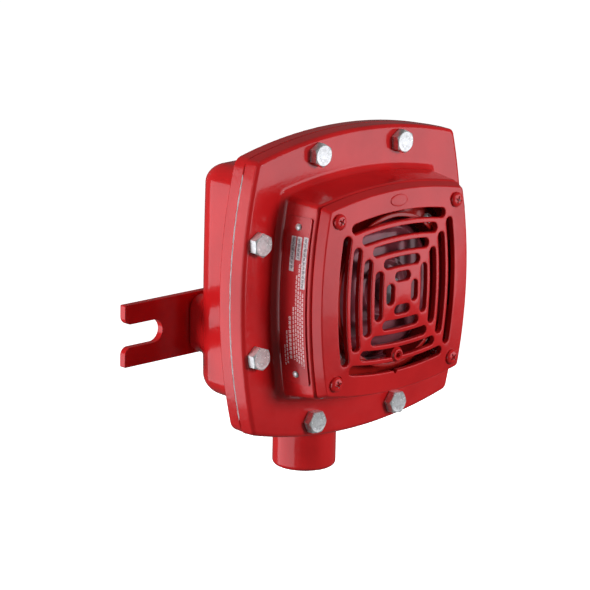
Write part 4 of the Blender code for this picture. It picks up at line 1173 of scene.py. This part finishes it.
def make_cover_bolts():
    """Hexagon heads with raised strokes, each left at its own angle."""
    height = BOLT_HEAD - 0.00005
    mesh = fastener("cover_bolt", hex_head(BOLT_FLATS, height, 96), BOLT_RADIUS, BOLT_SHANK, 96)
    mesh = shaded(raised_marks(mesh, 0.0036, height), 24)
    places = [(x, FLANGE_FRONT - HAIR, z) for x, z in corners_at(BOLT_NEAR, BOLT_FAR)]
    for bolt in add_fasteners("cover_bolt", mesh, places, BOLT_TURNS):
        keep_faces_flat(bolt)


def make_grille_screws():
    """Painted pan heads, each left at its own angle."""
    radius, height, length = 0.0046, 0.0024, 0.018
    mesh = fastener("grille_screw", pan_head(radius, height), SCREW_RADIUS, length)
    mesh = shaded(recessed(mesh, 0.0050, 0.0011, height, 0.0021), 30)
    places = [(x, GRILLE_SEAT - HAIR, z) for x, z in corners_at(GRILLE_SCREW_AT)]
    spins = (53, 16, 69, 32)
    add_fasteners("grille_screw", mesh, places, spins, material="screw", slot="grille_enamel")


def ring_seat():
    """Depth of the clamping ring's rear face."""
    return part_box("diaphragm_clamp_ring")[1].y - ORIGIN.y


def make_clamp_screws():
    """Bright pan heads on the clamping ring, seen through the grille."""
    radius, height, length = 0.0036, 0.0022, 0.0088
    mesh = fastener("clamp_screw", pan_head(radius, height), SCREW_RADIUS, length)
    mesh = shaded(recessed(mesh, 0.0042, 0.0010, height, 0.0013), 30)
    places = [(x, ring_seat() - RING_PLATE, z) for x, z in corners_at(RING_SCREW_AT)]
    add_fasteners("clamp_screw", mesh, places, (31, 62, 3, 34))


def make_bracket_screws():
    """Flat heads sunk in the bracket's wall face."""
    radius, height, length = 0.0055, 0.0025, 0.0112
    head = [(circle(radius), height - 0.0002), (circle(radius), height)]
    mesh = recessed(fastener("bracket_screw", head, 0.0029, length), 0.0056, 0.0012, height, 0.0016)
    places = [(side * BRACKET_SCREW_AT, WALL_DEPTH - 0.0028, BRACKET_HEIGHT) for side in (-1, 1)]
    add_fasteners("bracket_screw", shaded(mesh, 30), places, (22.92, 45.84), facing=REARWARD)


def make_output_adjuster():
    """Grub screw with a hexagon socket, painted with the grille."""
    front, end = ADJUSTER_FRONT, ADJUSTER_END
    round_body, tip = circle(ADJUSTER_RADIUS, 48), circle(ADJUSTER_RADIUS - 0.0003, 48)
    body = ((tip, front), (round_body, front + 0.0003), (round_body, end - 0.0003), (tip, end))
    mesh = finished(lofted_at_depths(body), "output_adjuster")
    socket = lofted_at_depths((hexagon(0.0028, 48), depth) for depth in (front - OVERRUN, front + 0.004))
    mesh = shaded(cut(mesh, socket))
    at = (0, 0, ADJUSTER_HEIGHT)
    name = "output_adjusting_screw"
    add_piece("output_adjuster", mesh, "grille", "zinc", name, body="output_adjuster", at=at)


# ---- nameplate


def box_wall(depth, height):
    """A point on the outer face of the box's left wall."""
    share = (depth - BOX_RIM) / (FLANGE_FRONT - BOX_RIM)
    half = BOX_RIM_HALF + share * (BOX_BASE_HALF - BOX_RIM_HALF)
    radius, centre = side_circle(half, BOX_BULGE)
    return Vector((-centre - sqrt(radius**2 - height**2), depth, height))


def wall_normal(depth, height, step=0.001):
    """Unit vector straight out of the left wall."""
    along = box_wall(depth, height + step) - box_wall(depth, height - step)
    back = box_wall(depth + step, height) - box_wall(depth - step, height)
    across = along.cross(back).normalized()
    return -across if across.x > 0 else across


def wall_patch(front, rear, low, high, base, top, corner=0.0, bm=None, columns=5):
    """A thin patch on the left wall, between two depths, two heights and two distances off the wall."""
    corner_turn = np.linspace(0, pi / 2, 5) if corner else np.array([pi / 2])
    ends = corner * (1 - np.cos(corner_turn))
    insets = corner * (1 - np.sin(corner_turn))
    count = max(1, round((high - low - 2 * corner) / 0.002))
    between = np.linspace(low + corner, high - corner, count + 1)[1:-1]
    heights = [*(low + ends), *between, *(high - ends[::-1])]
    drawn_in = [*insets, *[0.0] * len(between), *insets[::-1]]
    rings = []
    for height, inset in zip(heights, drawn_in):
        depths = np.linspace(front + inset, rear - inset, columns)
        around = [(depth, base) for depth in depths] + [(depth, top) for depth in depths[::-1]]
        rings.append([box_wall(d, height) + off * wall_normal(d, height) for d, off in around])
    return loft(rings, bm=bm)


STROKE = 0.00028
STROKE_PITCH = 0.0005
STROKE_BREAK = 0.0006


def ruled_row(bm, depth, breadth, low, high, base, top):
    """A row of short strokes in groups of uneven length, which stands for print and spells nothing."""
    height, number, group = high, 0, 5
    while height > low:
        reach = breadth * (0.76 + 0.12 * (number % 3))
        wall_patch(depth, depth + reach, height - STROKE, height, base, top, bm=bm, columns=2)
        number += 1
        height -= STROKE_PITCH
        if number == group:
            height -= STROKE_BREAK
            group += 3 + number % 4


# Labels as (depth, low, high), and rows of strokes as (depth, breadth, low, high).
LABELS = ((0.0113, 0.0085, 0.039), (0.0160, 0.025, 0.0385), (0.0203, 0.018, 0.0385))
LABEL_WIDTH = 0.0034
PRINT_ROWS = (
    (0.0121, 0.0011, -0.039, 0.006),
    (0.0138, 0.0009, -0.038, 0.007),
    (0.0154, 0.0011, -0.037, 0.023),
    (0.0172, 0.0009, -0.036, 0.016),
    (0.0189, 0.0010, -0.035, -0.003),
    (0.0212, 0.0019, -0.035, -0.009),
    (0.0241, 0.0010, -0.038, -0.018),
    (0.0260, 0.0008, -0.039, -0.027),
)


def make_nameplate():
    """A thin plate with plain labels and rows of strokes."""
    surface = PLATE_OFF_WALL + PLATE_THICKNESS
    sunk = surface - 0.0001
    rim = (PLATE_FRONT, PLATE_REAR, -PLATE_HALF_LENGTH, PLATE_HALF_LENGTH)
    plate = shaded(finished(wall_patch(*rim, PLATE_OFF_WALL, surface, 0.0015), "nameplate_plate"))
    add_piece("nameplate_plate", plate, "plate", "nameplate", "nameplate")
    labels, rows, marks = bmesh.new(), bmesh.new(), bmesh.new()
    for front, low, high in LABELS:
        wall_patch(front, front + LABEL_WIDTH, low, high, sunk, surface + 0.00005, 0.0004, labels)
        ruled_row(marks, front + 0.0011, 0.0014, low + 0.001, high - 0.001, sunk, surface + 0.00008)
    for depth, breadth, low, high in PRINT_ROWS:
        ruled_row(rows, depth, breadth, low, high, sunk, surface + 0.00003)
    for name, bm, material in (
        ("nameplate_labels", labels, "label"),
        ("nameplate_rows", rows, "print"),
        ("nameplate_marks", marks, "phenolic"),
    ):
        add_piece(name, shaded(finished(bm, name)), material, "nameplate")


def make_rivets():
    """Two domed drive rivets that hold the nameplate."""
    head = [(circle(RIVET_RADIUS, 40), 0.0)]
    for angle in np.linspace(0, 0.97, 8) * pi / 2:
        head.append((circle(RIVET_RADIUS * cos(angle), 40), 0.0003 + 0.0011 * sin(angle)))
    mesh = shaded(fastener("nameplate_rivet", head, 0.0011, 0.0040, 40), 50)
    depth = (PLATE_FRONT + PLATE_REAR) / 2
    for number, height in enumerate((RIVET_HEIGHT, -RIVET_HEIGHT), start=1):
        name = f"nameplate_rivet_{number}"
        outward = wall_normal(depth, height)
        at = box_wall(depth, height) + (PLATE_OFF_WALL + PLATE_THICKNESS - HAIR) * outward
        add_piece(f"{name}_head", mesh, "zinc", "zinc", name, at=at, facing=outward)


# ---- bracket, ring and diaphragm


def bracket_outline():
    """Flat bar with an open slot in each end, whose mouth is rounded."""
    half_slot, mouth = BRACKET_SLOT_RADIUS, BRACKET_MOUTH_RADIUS
    end, ease = BRACKET_HALF_LENGTH, BRACKET_EASE
    closed_end = end - BRACKET_SLOT_DEPTH + half_slot
    upper = np.concatenate([
        arc((end - ease, BRACKET_HALF_HEIGHT - ease), ease, pi / 2, 0, 4),
        arc((end - mouth, half_slot + mouth), mouth, 0, -pi / 2, 12),
        arc((closed_end, 0), half_slot, pi / 2, pi, 16),
    ])  # fmt: skip
    right = np.concatenate([upper, upper[-2::-1] * (1, -1)])
    return np.concatenate([right, -right])


def make_bracket():
    outline = bracket_outline() + (0, BRACKET_HEIGHT)
    front = WALL_DEPTH - BRACKET_THICKNESS
    mesh = finished(lofted_at_depths((outline, depth) for depth in (front, WALL_DEPTH)), "mounting_bar")
    for side in (-1, 1):
        centre = np.array([side * BRACKET_SCREW_AT, BRACKET_HEIGHT])
        sink = ((0.0034, front - OVERRUN), (0.0034, WALL_DEPTH - 0.0029), (0.0062, WALL_DEPTH + 0.0001))
        mesh = cut(mesh, lofted_at_depths((circle(radius) + centre, depth) for radius, depth in sink))
    bar = add_piece("mounting_bar", shaded(mesh, 30), "bar", "red_enamel", "mounting_bracket")
    bevel = bar.modifiers.new("eased_edges", "BEVEL")
    bevel.width = 0.0004
    bevel.segments = 3
    bevel.limit_method = "ANGLE"
    bevel.angle_limit = radians(40)
    keep_faces_flat(bar)


def make_clamp_ring():
    """A flat ring with a raised lip around its opening."""
    seat = ring_seat()
    plate, lip = seat - RING_PLATE, RING_INNER + RING_LIP
    profile = [
        (RING_OUTER, plate, CAST_EDGE),
        (RING_OUTER, seat, 0),
        (RING_INNER, seat, 0),
        (RING_INNER, RING_FRONT, 0.0006),
        (lip, RING_FRONT, 0.0010),
        (lip, plate, 0.0010),
    ]
    mesh = finished(turned(profile, 144), "clamp_ring")
    mesh = cut(mesh, rods(corners_at(RING_SCREW_AT), plate - OVERRUN, seat + OVERRUN, SCREW_CLEARANCE))
    # Painted shade: the ring takes the darker inner enamel.
    ring = add_piece("clamp_ring", shaded(mesh), "inner", "red_enamel", "diaphragm_clamp_ring")
    keep_faces_flat(ring)


def make_diaphragm():
    """Thin disc that steps forward inside its rim, with one shallow rolled ring."""
    front = [(0.0486, 0.0157, 0), (0.0430, 0.0157, 0.001), (0.0375, 0.0106, 0.002)]
    front += [(0.0190, 0.0106, 0.0016), (0.0165, 0.0101, 0.0016), (0.0140, 0.0106, 0.0016)]
    front.append((0.0034, 0.0103, 0))
    rear = [(radius, depth + DIAPHRAGM_THICKNESS, rounding) for radius, depth, rounding in reversed(front)]
    mesh = finished(turned(front + rear, 128), "diaphragm_disc")
    add_piece("diaphragm_disc", shaded(mesh), "diaphragm", "red_enamel", "diaphragm", body="diaphragm_set")


# ---- stage


CAMERA_AT = (-1.32387, -1.40192, 0.48838)
CAMERA_TURN = (75.9758, -1.0854, -43.6695)  # degrees about X, Y and Z
CAMERA_LENS = 196.465
WORLD_LIGHT = 0.09
FLOOR_DROP = 0.35
FLOOR_SIZE = 7.0


def make_camera():
    """A long lens from the front left, slightly above, turned a little about its own axis."""
    data = bpy.data.cameras.new("camera")
    data.lens, data.sensor_width = CAMERA_LENS, 36.0
    data.clip_start, data.clip_end = 0.05, 60
    camera = bpy.data.objects.new("camera", data)
    bpy.context.scene.collection.objects.link(camera)
    camera.location = CAMERA_AT
    camera.rotation_euler = [radians(angle) for angle in CAMERA_TURN]
    bpy.context.scene.camera = camera


def add_light(name, azimuth, elevation, distance, size, power, reflected=False, lights=True):
    """A soft box that faces the horn. Azimuth 0 is straight in front, positive to the right.

    The horn mirrors it only if it is reflected, and it lights matt surfaces only if it lights.
    """
    data = bpy.data.lights.new(name, "AREA")
    data.shape = "RECTANGLE"
    data.size, data.size_y = size
    data.energy = power
    data.color = (0.90, 0.92, 1.0) if reflected else (0.96, 0.97, 1.0)
    light = bpy.data.objects.new(name, data)
    bpy.context.scene.collection.objects.link(light)
    a, e = radians(azimuth), radians(elevation)
    away = Vector((sin(a) * cos(e), -cos(a) * cos(e), sin(e)))
    centre = ORIGIN + Vector((0, 0.05, 0))
    light.location = centre + distance * away
    light.rotation_euler = away.to_track_quat("Z", "Y").to_euler()
    light.visible_glossy = reflected
    light.visible_diffuse = lights


def make_world():
    """White to the camera, dim to everything that lights or mirrors in the horn."""
    world = bpy.data.worlds.new("studio")
    world.use_nodes = True
    tree = world.node_tree
    dim = tree.nodes["Background"]
    dim.inputs["Color"].default_value = (1, 1, 1, 1)
    dim.inputs["Strength"].default_value = WORLD_LIGHT
    white = tree.nodes.new("ShaderNodeBackground")
    white.inputs["Color"].default_value = (1, 1, 1, 1)
    path = tree.nodes.new("ShaderNodeLightPath")
    mix = tree.nodes.new("ShaderNodeMixShader")
    tree.links.new(path.outputs["Is Camera Ray"], mix.inputs[0])
    tree.links.new(dim.outputs[0], mix.inputs[1])
    tree.links.new(white.outputs[0], mix.inputs[2])
    tree.links.new(mix.outputs[0], tree.nodes["World Output"].inputs["Surface"])
    bpy.context.scene.world = world


def make_floor():
    bm = bmesh.new()
    bmesh.ops.create_grid(bm, x_segments=1, y_segments=1, size=FLOOR_SIZE)
    mesh = finished(bm, "floor")
    m = Nodes("floor_white", 0.6, Emission_Color=(1, 1, 1, 1), Emission_Strength=0.95)
    m.colour(m.ramp(m.noise(3, 2), [(0.3, (0.93, 0.93, 0.93)), (0.7, (0.95, 0.95, 0.95))]))
    mesh.materials.append(m.material)
    floor = bpy.data.objects.new("floor", mesh)
    bpy.context.scene.collection.objects.link(floor)
    floor.location.z = CAD_BOX[0].z - FLOOR_DROP
    floor.visible_glossy = False
    floor.visible_diffuse = False


def make_stage():
    """Camera, white surroundings, and soft boxes, of which two and a strip are mirrored in the enamel."""
    bpy.context.scene.view_settings.view_transform = "Standard"
    make_camera()
    make_world()
    make_floor()
    add_light("right_box", 38, 0, 1.2, (0.95, 0.64), 3.0, reflected=True)
    add_light("left_box", -117, -12, 1.2, (1.68, 1.0), 7.4, reflected=True)
    add_light("left_strip", -72, 0, 1.2, (0.6, 0.9), 0.9, reflected=True, lights=False)
    add_light("front_key", 21, 12, 1.6, (0.5, 0.5), 18.0)
    add_light("left_key", -117, 8, 1.5, (0.5, 0.5), 19)
    add_light("top_key", 20, 75, 1.5, (0.6, 0.6), 4)
    add_light("right_key", 112, 6, 1.5, (0.6, 0.6), 9)
    add_light("rear_key", 172, 10, 1.5, (0.6, 0.6), 9)


def main():
    make_stage()
    finish_cad_nodes()
    make_front_cover()
    make_rear_housing()
    make_grille()
    make_badge_pad()
    make_cover_bolts()
    make_grille_screws()
    make_clamp_screws()
    make_bracket_screws()
    make_output_adjuster()
    make_nameplate()
    make_rivets()
    make_bracket()
    make_clamp_ring()
    make_diaphragm()


main()
